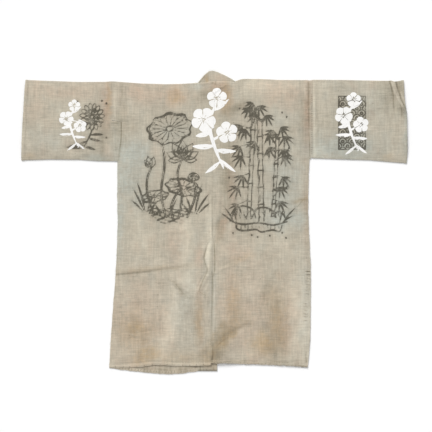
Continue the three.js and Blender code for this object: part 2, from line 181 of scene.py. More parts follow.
LEFT_SHOULDER = Edge((
    (-600, 3.5), (-580, 3), (-505, 0), (-412, -3.2), (-335, -3), (-313, -1.2), (-280, -3.5), (-225, -7.8),
    (-148, -10.2), (-100, -9.3), (-46.5, -6), (-9, -1.5), (8, -1),
), 5)
RIGHT_SHOULDER = Edge((
    (7, -1), (34, -0.6), (69, -1), (90, 6.2), (145, 6.2), (207, 3.1), (290, 2.6), (300, 1.6), (312, 3.6),
    (394, 3), (487, 1.2), (542, 0.2), (552, 1.6), (562, -2.4), (590, 2.2), (603, 2.2),
), 3)
LEFT_BACK_HEM = Edge((
    (-322, -888), (-263, -888), (-222, -886), (-184, -880), (-155, -880), (-112, -884), (-48, -882),
    (0, -880.5),
), 6)
RIGHT_BACK_HEM = Edge((
    (-8, -875), (34, -875), (84, -876.6), (183, -879.4), (239, -882.6), (276, -885.4), (295, -887.4),
), 6)
LEFT_FRONT_HEM = Edge((
    (-322, -889.5), (-251, -898), (-193, -905), (-133, -908.5), (-97, -906.4), (-58, -900), (-47, -898.5),
), 6)
RIGHT_FRONT_HEM = Edge(((36, -868), (150, -872), (295, -884)), 6)
LEFT_UNDERARM = Edge(((-594, -246), (-505, -243), (-412, -244), (-356, -248), (-290, -249)), 6)
RIGHT_UNDERARM = Edge(((300, -239), (394, -242.7), (487, -245.5), (549, -251), (600, -255)), 6)
LEFT_CUFF = Edge(((4, -580.5), (-60, -585), (-180, -592), (-246, -593.6)), 8)
RIGHT_CUFF = Edge((
    (4, 590.5), (-46, 592), (-84, 596.8), (-115, 600.6), (-183, 601.4), (-220, 602.3), (-256, 598.4),
), 5)


@dataclass(frozen=True)
class Fold:
    """One soft ridge of the cloth, or a trough where its height is below nought.

    Attributes:
        start: Point where it begins.
        end: Point where it ends.
        height: Height of its crest.
        before: How far it slopes away on the left of its direction.
        after: The same on the right.
        bow: How far its middle swings out to the left of the straight line.
    """

    start: Point
    end: Point
    height: float
    before: float
    after: float
    bow: float = 0.0

    def height_at(self, x: Array, y: Array) -> Array:
        """Height at points: an eased fall to each side of the crest and past its ends.

        Args:
            x, y: Places across and along.

        Returns:
            The height that the fold adds at each point.
        """
        run = np.subtract(self.end, self.start)
        length = float(np.hypot(*run))
        along = ((x - self.start[0]) * run[0] + (y - self.start[1]) * run[1]) / length
        aside = (run[0] * (y - self.start[1]) - run[1] * (x - self.start[0])) / length
        share = np.clip(along / length, 0.0, 1.0)
        aside = aside - 4.0 * self.bow * share * (1.0 - share)
        across = 1.0 - np.abs(aside) / np.where(aside > 0, self.before, self.after)
        ends = np.minimum(along, length - along) / min(40.0, length / 3.0) + 0.5
        return self.height * smooth(across) * smooth(ends)


# place of both ends, height, slope before and after, bow
LARGE_FOLDS = tuple(Fold((a, b), (c, d), *shape) for a, b, c, d, *shape in (
    (-306, -596, -92, -570, 1.6, 34, 12), (-150, -606, -70, -694, 2.4, 30, 16),
    (-13, -508, -14, -606, 3.4, 12, 14), (-16, -600, -50, -652, 2.0, 22, 8),
    (-166, -690, -158, -880, 2.6, 48, 52), (12, -850, 118, -716, 2.4, 34, 46),
    (214, -700, 242, -880, 1.8, 50, 44), (-250, -30, -236, -210, 1.3, 26, 22),
    (236, -20, 252, -196, 1.3, 20, 26), (-520, -40, -430, -196, 1.4, 32, 40),
    (420, -200, 500, -60, 1.4, 38, 30), (562, -2, 593, -92, 5.0, 4.5, 22, -3),
    (524, -26, 534, -92, 1.6, 9, 16), (314, -8, 315, -232, 1.8, 6, 6),
))


def view(x: float, y: float) -> Point:
    """Place on the cloth of a point of the view, which is 432 steps of 3.1 mm wide."""
    return (x - 213.0) * 3.1, (81.0 - y) * 3.1


# place of both ends in the view, height, slope before and after, bow
FINE_FOLDS = tuple(Fold(view(a, b), view(c, d), *shape) for a, b, c, d, *shape in (
    # storage crease and the curved one below it
    (114, 275.4, 151, 271.8, -0.8, 4, 7), (149, 271.6, 187, 266, -0.5, 6, 8),
    (167, 277.6, 181, 291, -1.3, 7, 12, -4), (180, 289, 196, 301, -1.0, 7, 12, 2),
    (171, 284, 182, 306, 1.3, 12, 8, -3), (197, 290.5, 205, 296, 1.2, 4, 6),
    # pucker beside the centre seam
    (207.6, 242, 203.4, 260, -1.9, 4, 6, 3), (203.2, 258, 206.8, 274, -1.9, 4, 6, 2),
    (206.8, 272, 197.5, 289, -1.7, 4, 5, -2), (210, 246, 209.4, 270, 1.3, 9, 7),
    (209, 274, 201, 290, 1.2, 8, 4),
    # right of the seam
    (215, 274, 229, 266, 0.9, 7, 7, 3), (228, 267, 249, 257, 0.5, 9, 8, -3),
    (215.5, 344, 250, 324, -1.6, 12, 18, 5), (288, 300, 286.5, 360, -0.9, 8, 8),
    (294.5, 286, 295.5, 362, 1.4, 18, 18), (262, 290, 266, 352, 0.7, 16, 16, 4),
    # lower left
    (182, 284, 184, 360, 1.2, 22, 22), (163, 302, 160, 364, -0.9, 9, 12, 3),
    (193, 312, 193.5, 362, -0.8, 8, 8), (120, 304, 166, 300, 0.5, 12, 8, 4),
    (118, 331, 172, 328, -0.5, 9, 12, -5), (126, 345, 128, 364, 0.6, 14, 14),
    (142, 348, 141, 366, -0.5, 8, 8),
    # armholes
    (116, 84, 116, 120, 0.9, 9, 10), (121.2, 83, 121.4, 134, -0.7, 3.5, 3.5),
    (126, 84, 127, 150, -0.6, 3.5, 5, 1), (122, 136, 119.5, 160, 0.8, 8, 8),
    (302, 83, 303, 156, -0.7, 4, 4, 1), (308.6, 94, 308.8, 121, -0.8, 3.5, 3.5),
    (308.8, 134, 309.4, 158, -0.8, 3.5, 3.5), (317.6, 90, 318.4, 140, -0.5, 4, 4),
    # shoulders and neck
    (228, 84.5, 215, 92.5, 1.3, 4, 6), (221, 88, 214, 97, -0.7, 4, 4), (150, 86, 153, 112, 0.5, 9, 9, 3),
    (178, 86, 175, 106, -0.5, 8, 8, 3), (243, 83, 246, 112, 0.5, 9, 9, -3),
    (264, 84, 268, 116, -0.5, 9, 9, 4), (286, 83, 284, 118, 0.6, 10, 10, 3),
    # middle of the back
    (129, 168, 133, 248, -0.6, 10, 10, 6), (205, 182, 203, 238, 0.6, 12, 12, -4),
    (222, 168, 219, 236, -0.7, 7, 8, 3), (301, 170, 299, 250, 0.7, 12, 12, 4),
    (298, 205, 304, 202, 0.7, 5, 5), (150, 236, 190, 231, 0.5, 14, 10, 5),
    (236, 246, 290, 242, -0.5, 12, 12, 7),
    # right cuff
    (389.2, 80, 394.6, 114, -2.2, 4, 4.5, 2.5), (398.6, 98, 402.4, 118, -1.4, 4, 5),
    (401, 82, 405, 98, 0.8, 5, 5), (371, 90, 376, 118, -0.8, 6, 8, 3), (379, 88, 380, 110, 0.7, 7, 7),
    (384, 118, 387, 150, -0.5, 8, 8, 3), (401, 120, 401.5, 158, 0.5, 7, 7),
    # left sleeve
    (27.4, 82, 24.6, 158, 0.7, 6, 6), (36, 84, 42, 116, 0.5, 10, 10, 5), (60, 84, 57, 104, -0.5, 8, 8, 3),
    (74, 83, 76, 100, 0.5, 8, 8), (44, 128, 36, 156, -0.5, 10, 10, 4), (96, 150, 66, 158, 0.6, 10, 8, 3),
))


class Relief:
    """Heights of the upper layer of cloth above the table.

    Attributes:
        folds: Its soft ridges and troughs.
        waves: Height, stretch across and along, size and seed of each size of unevenness.
    """

    folds = LARGE_FOLDS + FINE_FOLDS
    waves = ((0.6, 1.0, 0.4, 32.0, 3), (0.45, 0.45, 1.0, 26.0, 5), (0.2, 1.0, 1.0, 12.0, 7))

    @staticmethod
    def clearance(x: Array) -> Array:
        """Underside of the upper layer: it eases up on to the collar bands from both sides."""
        return REST + (STACK - REST) * smooth((BAND_REACH - np.abs(x)) / BAND_SLOPE)

    @classmethod
    def ripples(cls, x: Array, y: Array, inset: Array) -> Array:
        """Unevenness of old cloth: long vertical and level waves in three sizes of soft noise."""
        waves = sum(h * (1 + value_noise(x * a, y * b, size, seed)) for h, a, b, size, seed in cls.waves)
        return waves * smooth(inset / 22.0)

    @classmethod
    def upper(cls, x: Array, y: Array, inset: Array) -> Array:
        """Middle of the upper layer: clearance, half the wall, loft, folds and ripples.

        Args:
            x, y: Places across and along.
            inset: How far each point lies from the nearest edge of its piece.

        Returns:
            Height of the middle of the wall.
        """
        height = cls.clearance(x) + CLOTH / 2 + LOFT * smooth(inset / LOFT_EDGE)
        for fold in cls.folds:
            height = height + fold.height_at(x, y)
        return height + cls.ripples(x, y, inset)


def heading(turn: float) -> tuple[Array, Array]:
    """Unit steps in a direction, given in degrees, and square to it on its left."""
    a = np.radians(turn)
    return np.array([np.cos(a), np.sin(a)]), np.array([-np.sin(a), np.cos(a)])


def curve(points: tuple[Point | Array, ...], cuts: int = 6) -> Array:
    """A rounded line through points, by the Catmull-Rom rule.

    Args:
        points: The points that it passes through.
        cuts: How many steps are made between two of them.

    Returns:
        The line's points, one row each.
    """
    knots = np.array(points, dtype=float)
    knots = np.vstack([2 * knots[0] - knots[1], knots, 2 * knots[-1] - knots[-2]])
    t = np.linspace(0.0, 1.0, cuts, endpoint=False)[:, None]
    made = [
        0.5 * (2 * b + (c - a) * t + (2 * a - 5 * b + 4 * c - d) * t**2 + (3 * b - a - 3 * c + d) * t**3)
        for a, b, c, d in zip(knots, knots[1:], knots[2:], knots[3:])
    ]
    return np.vstack([*made, knots[-2]])


@dataclass
class Drawing:
    """A drawing made of brush strokes, each a line of points with a radius at every point."""

    strokes: list[Array] = field(default_factory=list)

    def stroke(
        self, points: tuple[Point | Array, ...], radii: tuple[float, ...], cuts: int = 6
    ) -> None:
        """Add a stroke along a rounded line, its radius read evenly from a few values.

        Args:
            points: The points that it passes through.
            radii: Radii from its first point to its last.
            cuts: How many steps are made between two points.
        """
        line = curve(points, cuts)
        share = np.linspace(0.0, 1.0, len(line))
        radius = np.interp(share, np.linspace(0.0, 1.0, len(radii)), radii)
        self.strokes.append(np.column_stack([line, radius]))

    def leaf(
        self, x: float, y: float, length: float, turn: float, radius: float, bend: float = 0.0
    ) -> None:
        """Add a leaf or petal: a stroke that swells in its middle, turned and bent.

        Args:
            x, y: Place of its foot.
            length: How long it is.
            turn: Its direction, in degrees from straight to the right.
            radius: Its radius at the widest.
            bend: How far its tip swings to the left.
        """
        (along, side), foot = heading(turn), np.array([x, y])
        middle = foot + along * length * 0.5 + side * bend * 0.35
        points = (foot, middle, foot + along * length + side * bend)
        self.stroke(points, (0.25 * radius, radius, 0.9 * radius, 0.15), 5)

    def ring(
        self, x: float, y: float, wide: float, high: float, radius: float, turn: float = 0.0,
        wave: float = 0.0, waves: int = 0, part: Point = (0.0, 1.0),
    ) -> None:
        """Add an oval outline, or a part of one, whose edge may be waved.

        Args:
            x, y: Its middle.
            wide, high: Half its width and height.
            radius: Radius of the stroke.
            turn: How far it is turned, in degrees.
            wave: Height of the waves of its edge.
            waves: How many waves go round it.
            part: Where the outline begins and ends, as shares of the whole turn.
        """
        a = np.linspace(part[0], part[1], 37) * 2 * pi
        swell = 1.0 + wave * np.sin(waves * a + 1.0)
        px, py = wide * swell * np.cos(a), high * swell * np.sin(a)
        c, s = np.cos(np.radians(turn)), np.sin(np.radians(turn))
        width = radius * (1.0 + 0.35 * np.sin(3 * a + x))
        self.strokes.append(np.column_stack([x + px * c - py * s, y + px * s + py * c, width]))

    def field(self, x: Array, y: Array, reach: float = 9.0) -> Array:
        """How far inside the strokes each point lies: the greatest of radius less distance.

        Args:
            x, y: Places across and along.
            reach: Distance beyond which a point counts as that far outside.

        Returns:
            The depth inside the drawing, which is below nought outside it.
        """
        flat_x, flat_y = np.ravel(x), np.ravel(y)
        depth = np.full(flat_x.shape, -reach)
        for line in self.strokes:
            edge = line[:, 2].max() + reach
            low, high = line[:, :2].min(0) - edge, line[:, :2].max(0) + edge
            near = np.flatnonzero(
                (flat_x > low[0]) & (flat_x < high[0]) & (flat_y > low[1]) & (flat_y < high[1])
            )
            if not near.size:
                continue
            point = np.stack([flat_x[near], flat_y[near]], -1)[:, None]
            start, run = line[None, :-1, :2], np.diff(line[:, :2], axis=0)[None]
            share = ((point - start) * run).sum(-1) / np.maximum((run**2).sum(-1), 1e-9)
            share = np.clip(share, 0.0, 1.0)
            gap = np.linalg.norm(point - start - run * share[..., None], axis=-1)
            radius = line[None, :-1, 2] + np.diff(line[:, 2])[None] * share
            depth[near] = np.maximum(depth[near], (radius - gap).max(1))
        return depth.reshape(np.shape(x))


class Artwork:
    """Generic brush drawings that take the place of the jacket's prints.

    A lotus pond and a stand of bamboo are in dark ink, and sprays of blossom are in white.
    """

    def __init__(self) -> None:
        """Draw everything once."""
        self.ink = Drawing()
        self.white = Drawing()
        self.cut = Drawing()
        self.pond()
        self.bamboo()
        self.spray(8, -56, 1.04)
        self.spray(-432, -78, 0.62)
        self.spray(432, -60, 0.76)
        self.sleeve_bloom()

    def pond(self) -> None:
        """Left of the back: lotus leaves, a bloom, a bud and a seed head over water."""
        ink = self.ink
        stems = (
            ((-146, -424), (-160, -344), (-150, -262), (-156, -192)),
            ((-106, -426), (-96, -352), (-110, -290), (-96, -240)),
            ((-182, -420), (-202, -356), (-204, -306), (-192, -270)),
            ((-80, -424), (-60, -376), (-54, -344), (-60, -312)),
            ((-124, -424), (-130, -392), (-122, -366), (-104, -336)),
        )
        for stem in stems:
            for shift in (-2.3, 2.3):
                ink.stroke(tuple((x + shift, y) for x, y in stem), (1.5, 1.9, 1.2))
        self.lotus_leaf(-134, -148, 68, 46, 12, 9)
        self.lotus_leaf(-92, -330, 54, 25, -12, 8)
        self.lotus_leaf(-180, -358, 40, 18, 10, 7)
        for x, y, petals in (
            (-94, -244, ((168, 44, 12), (146, 54, 10), (118, 60, 5), (90, 62, 0), (62, 60, -5))),
            (-94, -244, ((36, 54, -10), (14, 44, -12))),
            (-94, -240, ((130, 38, 4), (90, 40, 0), (50, 38, -4))),
            (-192, -272, ((104, 40, 0), (76, 38, 0), (126, 33, 0))),
        ):
            for turn, length, bend in petals:
                self.petal(x, y, length, turn, bend)
        ink.ring(-60, -298, 17, 12, 2.1)
        ink.ring(-60, -300, 14, 8, 1.5)
        for dx, dy in ((-8, 2), (0, 4), (8, 2), (-4, -4), (4, -4)):
            ink.ring(-60 + dx, -299 + dy, 1.8, 1.5, 1.5)
        for k in range(7):
            x = np.linspace(-216 + 7 * k, -44 - 9 * k, 15)
            ripple = zip(x, -398 - 6.6 * k + 2.8 * np.sin(x * 0.13 + 1.9 * k))
            ink.stroke(tuple(ripple), (0.5, 2.0, 1.3, 2.2, 1.4, 0.4), 3)
        for k in range(15):
            x = -208 + 11 * k
            ink.stroke(((x, -404 - 3 * (k % 3)), (x + 9, -407 - 4 * (k % 4))), (0.6, 1.6, 0.4), 3)
        reeds = (
            (-210, -404, 104, 97, 16), (-214, -402, 84, 110, 9), (-204, -406, 66, 80, -14),
            (-218, -404, 52, 126, 8), (-198, -410, 50, 68, -12), (-56, -410, 92, 84, -12),
            (-50, -408, 70, 70, -16), (-66, -412, 60, 100, 8), (-44, -410, 48, 56, -12),
            (-72, -414, 42, 116, 6), (-136, -420, 60, 76, -10), (-160, -420, 48, 108, 8),
        )
        for x, y, length, turn, bend in reeds:
            ink.leaf(x, y, length, turn, 3.3, bend)

    def lotus_leaf(self, x: float, y: float, wide: float, high: float, turn: float, waves: int) -> None:
        """A round leaf from above: a waved rim drawn twice, forked veins and short rim strokes.

        Args:
            x, y: Its middle.
            wide, high: Half its width and height.
            turn: How far it is turned, in degrees.
            waves: How many waves go round its rim.
        """
        self.ink.ring(x, y, wide, high, 2.6, turn, 0.07, waves)
        self.ink.ring(x, y, wide * 0.9, high * 0.9, 1.1, turn, 0.06, waves, (0.05, 0.6))
        self.ink.ring(x, y, wide * 0.16, high * 0.16, 1.9, turn)
        c, s = np.cos(np.radians(turn)), np.sin(np.radians(turn))
        count = round(wide / 4.2)
        for i in range(count):
            a = 2 * pi * (i + 0.3) / count
            at = lambda r, b: (
                x + r * (wide * np.cos(b) * c - high * np.sin(b) * s),
                y + r * (wide * np.cos(b) * s + high * np.sin(b) * c),
            )
            self.ink.stroke((at(0.2, a), at(0.5, a), at(0.68, a)), (1.0, 1.7, 1.3), 3)
            for fork in (a + 0.13, a - 0.13):
                self.ink.stroke((at(0.66, a), at(0.92, fork)), (1.3, 0.5), 2)

    def petal(self, x: float, y: float, length: float, turn: float, bend: float) -> None:
        """Outline a pointed petal by two bowed strokes from foot to tip, with ribs between.

        Args:
            x, y: Place of its foot.
            length: How long it is.
            turn: Its direction, in degrees from straight to the right.
            bend: How far its tip swings to the left.
        """
        (along, side), foot = heading(turn), np.array([x, y])
        tip = foot + along * length + side * bend
        for hand in (-1, 1):
            belly = foot + along * length * 0.5 + side * (hand * length * 0.24 + bend * 0.4)
            self.ink.stroke((foot, belly, tip), (1.1, 2.2, 1.3), 5)
        for lean in (-0.09, 0.0, 0.09):
            middle = foot + along * length * 0.55 + side * (lean * length + bend * 0.4)
            self.ink.stroke((foot + along * 8, middle), (0.4, 1.1, 0.3), 4)

    def bamboo(self) -> None:
        """Right of the back: three bamboo canes with leaves, behind a rock and grasses."""
        ink = self.ink
        canes = ((110, -430, -98, 16, 6.5), (150, -436, -122, -6, 8.0), (186, -424, -176, 14, 5.5))
        for x, foot, top, lean, wide in canes:
            at = lambda aside, y: (x + lean * (y - foot) / (top - foot) + aside, y)
            joints = np.linspace(foot, top, 7)
            for low, high in zip(joints, joints[1:]):
                for w in (-wide, wide):
                    belly = at(0.84 * w, (low + high) / 2)
                    side = (at(w, low)[0], low + 2), belly, (at(w, high)[0], high - 2)
                    ink.stroke(side, (2.0, 1.3, 2.0), 3)
                knot = at(-wide - 2, high), (at(0, high)[0], high + 1.8), at(wide + 2, high)
                ink.stroke(knot, (1.8, 2.4, 1.6), 3)
                shine = (at(-0.3 * wide, low)[0], low + 10), (at(-0.3 * wide, high)[0], high - 12)
                ink.stroke(shine, (0.3, 0.9, 0.3), 3)
        twigs = (
            (126, -98, 128, 1), (126, -100, 60, -1), (126, -99, 92, 1), (144, -122, 112, -1),
            (144, -124, 42, 1), (118, -150, 158, 1), (120, -142, 200, -1), (148, -172, 20, -1),
            (200, -174, 72, 1), (202, -178, 18, -1), (200, -176, 118, 1), (116, -196, 192, -1),
            (196, -216, 10, 1), (114, -238, 168, 1), (192, -250, 34, -1), (112, -286, 200, 1),
            (190, -292, -12, 1), (110, -330, 176, -1), (188, -336, 22, 1), (136, -214, 100, 1),
            (108, -368, 206, 1), (186, -366, -20, -1), (168, -232, 84, -1),
        )
        for k, (x, y, turn, hand) in enumerate(twigs):
            a = np.radians(turn)
            reach = 20 + 6 * (k % 3)
            tip = (x + reach * np.cos(a), y + reach * np.sin(a))
            ink.stroke(((x, y), ((x + tip[0]) / 2 + 2 * hand, (y + tip[1]) / 2), tip), (1.8, 1.4, 1.0), 3)
            side = 1 if tip[0] > x else -1
            for spread, length in ((-22, 34), (4, 42), (30, 44), (58, 36), (84, 28)):
                down = 270 + side * (spread + 7 * (k % 3))
                ink.leaf(*tip, length + 4 * (k % 2), down, 2.9, -5 * side)
        rocks = (
            ((58, -430), (66, -404), (86, -388), (112, -392), (126, -404), (132, -424)),
            ((120, -426), (134, -398), (160, -392), (186, -404), (196, -424)),
            ((186, -420), (200, -406), (216, -412), (226, -430)),
            ((52, -434), (92, -444), (140, -440), (188, -446), (230, -436)),
            ((70, -442), (74, -458), (96, -464), (132, -460), (150, -468), (184, -462), (206, -466),
             (214, -446)),
        )
        for rock in rocks:
            ink.stroke(rock, (1.6, 3.4, 2.4, 3.2, 1.8), 5)
        for k in range(13):
            x = 70 + 11.6 * k
            top = -402 - 8 * np.sin(k * 1.3)
            ink.leaf(x, top, 17 + 4 * (k % 3), 258 + 14 * (k % 4), 1.7, 3)
            ink.leaf(x + 4, -446, 13 + 3 * (k % 2), 262 + 10 * (k % 3), 1.5, 2)
        for x, y, length, turn, bend in (
            (62, -438, 50, 130, 12), (66, -440, 62, 110, 14), (218, -438, 58, 66, -16),
            (212, -440, 42, 48, -12), (72, -438, 44, 92, 8), (206, -440, 48, 84, -8),
        ):
            ink.leaf(x, y, length, turn, 2.8, bend)
        dots = (
            (62, -472), (120, -478), (138, -484), (176, -479), (214, -470), (226, -486), (82, -86),
            (214, -98), (228, -112), (98, -94), (52, -180), (50, -300), (228, -330), (234, -210),
        )
        for x, y in dots:
            ink.ring(x, y, 1.4, 2.0, 1.5)

    def spray(self, x: float, y: float, size: float) -> None:
        """A white spray of three blossoms on a bowed twig, with slim leaves.

        Args:
            x, y: Place of the top blossom.
            size: Scale of the spray; 1 is about 210 mm tall.
        """
        white, cut = self.white, self.cut
        at = lambda u, v: (x + u * size, y + v * size)
        twig = (at(2, -10), at(-18, -74), at(-4, -140), at(24, -208))
        white.stroke(twig, (2.4 * size, 5.5 * size, 5 * size, 1.8 * size), 8)
        for u, v, radius, start in ((4, 2, 27, 90), (-36, -62, 33, 60), (34, -100, 29, 100)):
            bx, by = at(u, v)
            white.stroke((at(u, v), at(-8, v - 22)), (2.4 * size, 4 * size), 4)
            for i in range(5):
                a, b = np.radians(start + 72 * i), np.radians(start + 36 + 72 * i)
                px, py = bx + radius * 0.6 * size * np.cos(a), by + radius * 0.6 * size * np.sin(a)
                white.ring(px, py, 0.2 * size, 0.2 * size, radius * 0.46 * size / 1.2)
                ray = lambda near, far, c: tuple(
                    (bx + r * size * np.cos(c), by + r * size * np.sin(c)) for r in (near, far)
                )
                cut.stroke(ray(7, radius, b), (0.9, 1.8 * size), 3)
                cut.stroke(ray(6, radius * 0.55, a), (0.8, 1.1 * size, 0.4), 3)
            cut.ring(bx, by, 3.4 * size, 3.4 * size, 1.2 * size)
        for u, v, length, turn, radius, bend in (
            (-10, -36, 60, 22, 7.5, 14), (-14, -100, 48, 205, 7.5, -10), (-4, -140, 66, 196, 8, -18),
            (0, -152, 62, -18, 7.5, 16), (10, -178, 66, -50, 6, 14), (14, -186, 58, 230, 6, -12),
        ):
            white.leaf(*at(u, v), length * size, turn, radius * size, bend * size)
            (along, side), foot = heading(turn), np.array(at(u, v))
            tip = foot + size * (0.7 * length * along + 0.3 * bend * side)
            cut.stroke((foot + 12 * size * along, tip), (0.4, 0.9 * size, 0.3), 3)

    def sleeve_bloom(self) -> None:
        """Left sleeve: a dark chrysanthemum on a leafed stem, behind the white spray."""
        ink = self.ink
        for count, near, far, radius in ((15, 15, 38, 1.5), (10, 7, 24, 1.3)):
            for i in range(count):
                a = 2 * pi * (i + 0.2) / count
                wide, bulge = 0.8 * pi / count, 0.8 * far
                at = lambda r, b: (-374 + r * np.cos(b), -112 + 1.12 * r * np.sin(b))
                petal = (at(near, a), at(bulge, a - wide), at(far, a), at(bulge, a + wide), at(near, a))
                ink.stroke(petal, (radius,), 4)
        ink.ring(-374, -112, 5, 6, 2.2)
        ink.stroke(((-374, -150), (-382, -172), (-400, -206)), (2.0, 2.6, 1.6))
        for x, y, length, turn, bend in (
            (-380, -168, 44, 14, -10), (-384, -178, 40, -24, 8), (-390, -186, 46, 196, 12),
            (-396, -200, 54, 172, 10), (-398, -204, 40, -8, -6), (-402, -208, 58, 184, -8),
        ):
            ink.leaf(x, y, length, turn, 4.2, bend)
        for x, y in ((-344, -62), (-330, -70), (-420, -64), (-330, -176)):
            ink.ring(x, y, 1.6, 2.2, 1.4)

    def attribute(self, x: Array, y: Array) -> Array:
        """Fields for the shader: 0.5 on an outline, more inside it, in steps of 16 mm.

        Args:
            x, y: Places across and along.

        Returns:
            Four columns: ink, white, wash round the ink, and one.
        """
        ink = self.ink.field(x, y)
        white = np.minimum(self.white.field(x, y), -self.cut.field(x, y))
        wash = smooth((ink + 9.0) / 9.0)
        return np.stack([0.5 + ink / 16, 0.5 + white / 16, wash, np.ones_like(ink)], -1)


class Tone(Enum):
    """What a patch does to the cloth: the channel of the tint attribute that it fills. SHADE and PALE darken
    and lighten it, partly as painted shade and highlights of folds, creases and edges and partly as uneven
    cloth.
    """

    ROSE = 0
    BLUE = 1
    OCHRE = 2
    SHADE = 3
    PALE = 4


@dataclass(frozen=True)
class StainAndShadePatch:
    """A soft-edged patch of tint, with half its width and height and its turn in degrees."""

    tone: Tone
    x: float
    y: float
    wide: float
    high: float
    strength: float
    turn: float = 0.0

    def amount(self, x: Array, y: Array, push: tuple[Array, ...]) -> Array:
        """Amount at points: a bell over the turned oval, its edge pushed about by soft noise.

        Args:
            x, y: Places across and along.
            push: Broad and fine noise across, and then along.

        Returns:
            The amount at each.
        """
        c, s = np.cos(np.radians(self.turn)), np.sin(np.radians(self.turn))
        dx = x - self.x + 0.26 * self.wide * push[0] + 4.0 * push[1]
        dy = y - self.y + 0.26 * self.high * push[2] + 4.0 * push[3]
        u, v = (dx * c + dy * s) / self.wide, (dy * c - dx * s) / self.high
        return self.strength * np.exp(-((u * u + v * v) ** 1.1))


# place in the view across and down, half width, half height, strength, turn; the SHADE and PALE patches are
# partly painted shade and highlights of folds and creases and partly darker and paler cloth
STAIN_AND_SHADE_PATCHES = {
    Tone.ROSE: (
        (150, 94, 110, 34, 0.5), (174, 97, 38, 34, 0.95), (107, 103, 13, 78, 0.85), (66, 92, 120, 26, 0.42),
        (136, 91, 36, 28, 0.72), (36, 108, 34, 46, 0.35), (108, 150, 18, 22, 0.35),
        (219, 88, 36, 24, 0.85, -6), (227, 98, 18, 46, 0.6, 1), (220, 78.5, 30, 13, 0.5, -10),
        (275, 90, 46, 40, 0.45), (293, 94, 40, 40, 0.45), (307, 118, 11, 122, 0.8),
        (306.5, 212, 11, 150, 0.5), (232, 190, 15, 78, 0.5, 4), (224, 222, 13, 48, 0.6, -12),
        (174, 246, 26, 64, 0.42), (199, 256, 14, 34, 0.6), (237, 254, 48, 36, 0.5, 10),
        (254, 320, 136, 150, 0.42), (232, 302, 36, 90, 0.66), (283, 332, 30, 84, 0.6),
        (138, 322, 96, 140, 0.5), (199.5, 308, 12, 108, 0.5),
    ),
    Tone.BLUE: (
        (198, 87, 26, 14, 0.6), (132, 156, 58, 62, 1.0, 6), (118, 218, 24, 110, 0.85),
        (122, 181, 62, 70, 0.85), (138, 200, 36, 50, 0.5), (176, 138, 70, 40, 0.35, 20),
        (98, 158, 40, 14, 0.75), (48, 140, 50, 30, 0.4), (288, 178, 56, 76, 0.65), (282, 202, 60, 70, 0.7),
        (284, 218, 84, 34, 0.95), (344, 147, 124, 50, 0.95), (362, 106, 100, 70, 0.35),
        (305, 300, 20, 200, 0.4), (408, 130, 13, 110, 0.95, -2), (390, 164, 80, 7, 0.6, -2),
        (213, 300, 12, 130, 0.45), (184, 306, 36, 110, 0.35, -8), (280, 118, 60, 36, 0.3),
    ),
    Tone.OCHRE: (
        (175, 98, 26, 24, 0.7), (109, 98, 8, 54, 0.5), (29, 156, 18, 12, 0.35), (226.5, 98, 14, 44, 0.8, 1),
        (206.4, 79, 8, 13, 0.75), (301, 200, 30, 8, 0.45, 8), (388, 156, 18, 10, 0.3),
        (238, 260, 44, 12, 0.3, 24), (234, 305, 28, 74, 0.5), (136, 334, 56, 76, 0.35),
        (136, 328, 40, 26, 0.65), (147, 355, 44, 32, 0.75), (199.5, 320, 11, 60, 0.45),
        (182, 358, 90, 24, 0.3), (223, 338, 84, 26, 0.65, 42), (208, 358, 36, 30, 0.5),
        (213, 353, 14, 40, 0.6), (264, 344, 36, 32, 0.8), (277, 318, 26, 100, 0.5),
        (148, 269, 110, 8, 0.3, 5),
    ),
    Tone.PALE: (
        (186, 236, 22, 80, 0.95), (209, 234, 13, 80, 0.85), (185, 279, 44, 34, 0.9, -36),
        (175, 293, 34, 12, 0.75, -62), (272, 128, 54, 60, 0.3), (168, 330, 22, 120, 1.0, -13),
        (300, 322, 38, 140, 1.0), (283, 236, 30, 92, 0.5, 5), (264, 86, 84, 34, 0.8),
        (318, 153, 34, 26, 0.7, -20), (325, 90, 24, 60, 0.35), (128, 156, 36, 30, 0.4),
        (144, 240, 34, 48, 0.45, 10), (62, 100, 130, 70, 0.22), (117, 101, 12, 58, 0.5),
        (246, 352, 44, 26, 0.3), (216, 74, 40, 26, 0.4),
    ),
    Tone.SHADE: (
        (134, 330, 56, 50, 0.36), (197.5, 324, 13, 62, 0.42), (223, 336, 72, 27, 0.95, 43),
        (215, 349, 25, 52, 0.9), (277, 332, 44, 122, 0.62), (276, 350, 50, 34, 0.6),
        (267, 292, 20, 80, 0.5, -12), (227, 172, 20, 100, 0.85, 2), (221, 229, 16, 60, 0.8, -10),
        (244, 224, 24, 38, 0.45), (303, 200, 30, 9, 0.65, 8), (305, 118, 18, 84, 0.55),
        (307, 214, 8, 150, 0.4), (317.8, 120, 6, 104, 0.3), (408.6, 130, 8.5, 110, 0.75, -2),
        (386, 164.4, 86, 6, 0.4, -2), (218, 90, 30, 22, 0.6), (212.6, 354, 8, 36, 0.95),
        (262, 363.4, 130, 6, 0.35, -2), (332, 118, 40, 70, 0.18), (286, 128, 34, 30, 0.35),
        (211, 95, 36, 17, 0.85, 10), (234, 109, 40, 15, 0.8, 24), (102.5, 136, 8, 84, 0.55),
        (105, 126, 32, 74, 0.42), (120, 122, 20, 104, 0.5), (128, 126, 34, 28, 0.35),
        (388, 95, 32, 56, 0.62, 14), (400.6, 109, 17, 46, 0.6, 18), (394, 88, 10, 26, 0.35, 14),
        (400, 87, 15, 30, 0.95, 16), (163, 215, 54, 13, 0.4), (204, 76, 12, 22, 0.45, -42),
        (130, 272.6, 130, 6, 0.3, 4), (180.4, 289.4, 42, 10, 0.75, -39),
    ),
}
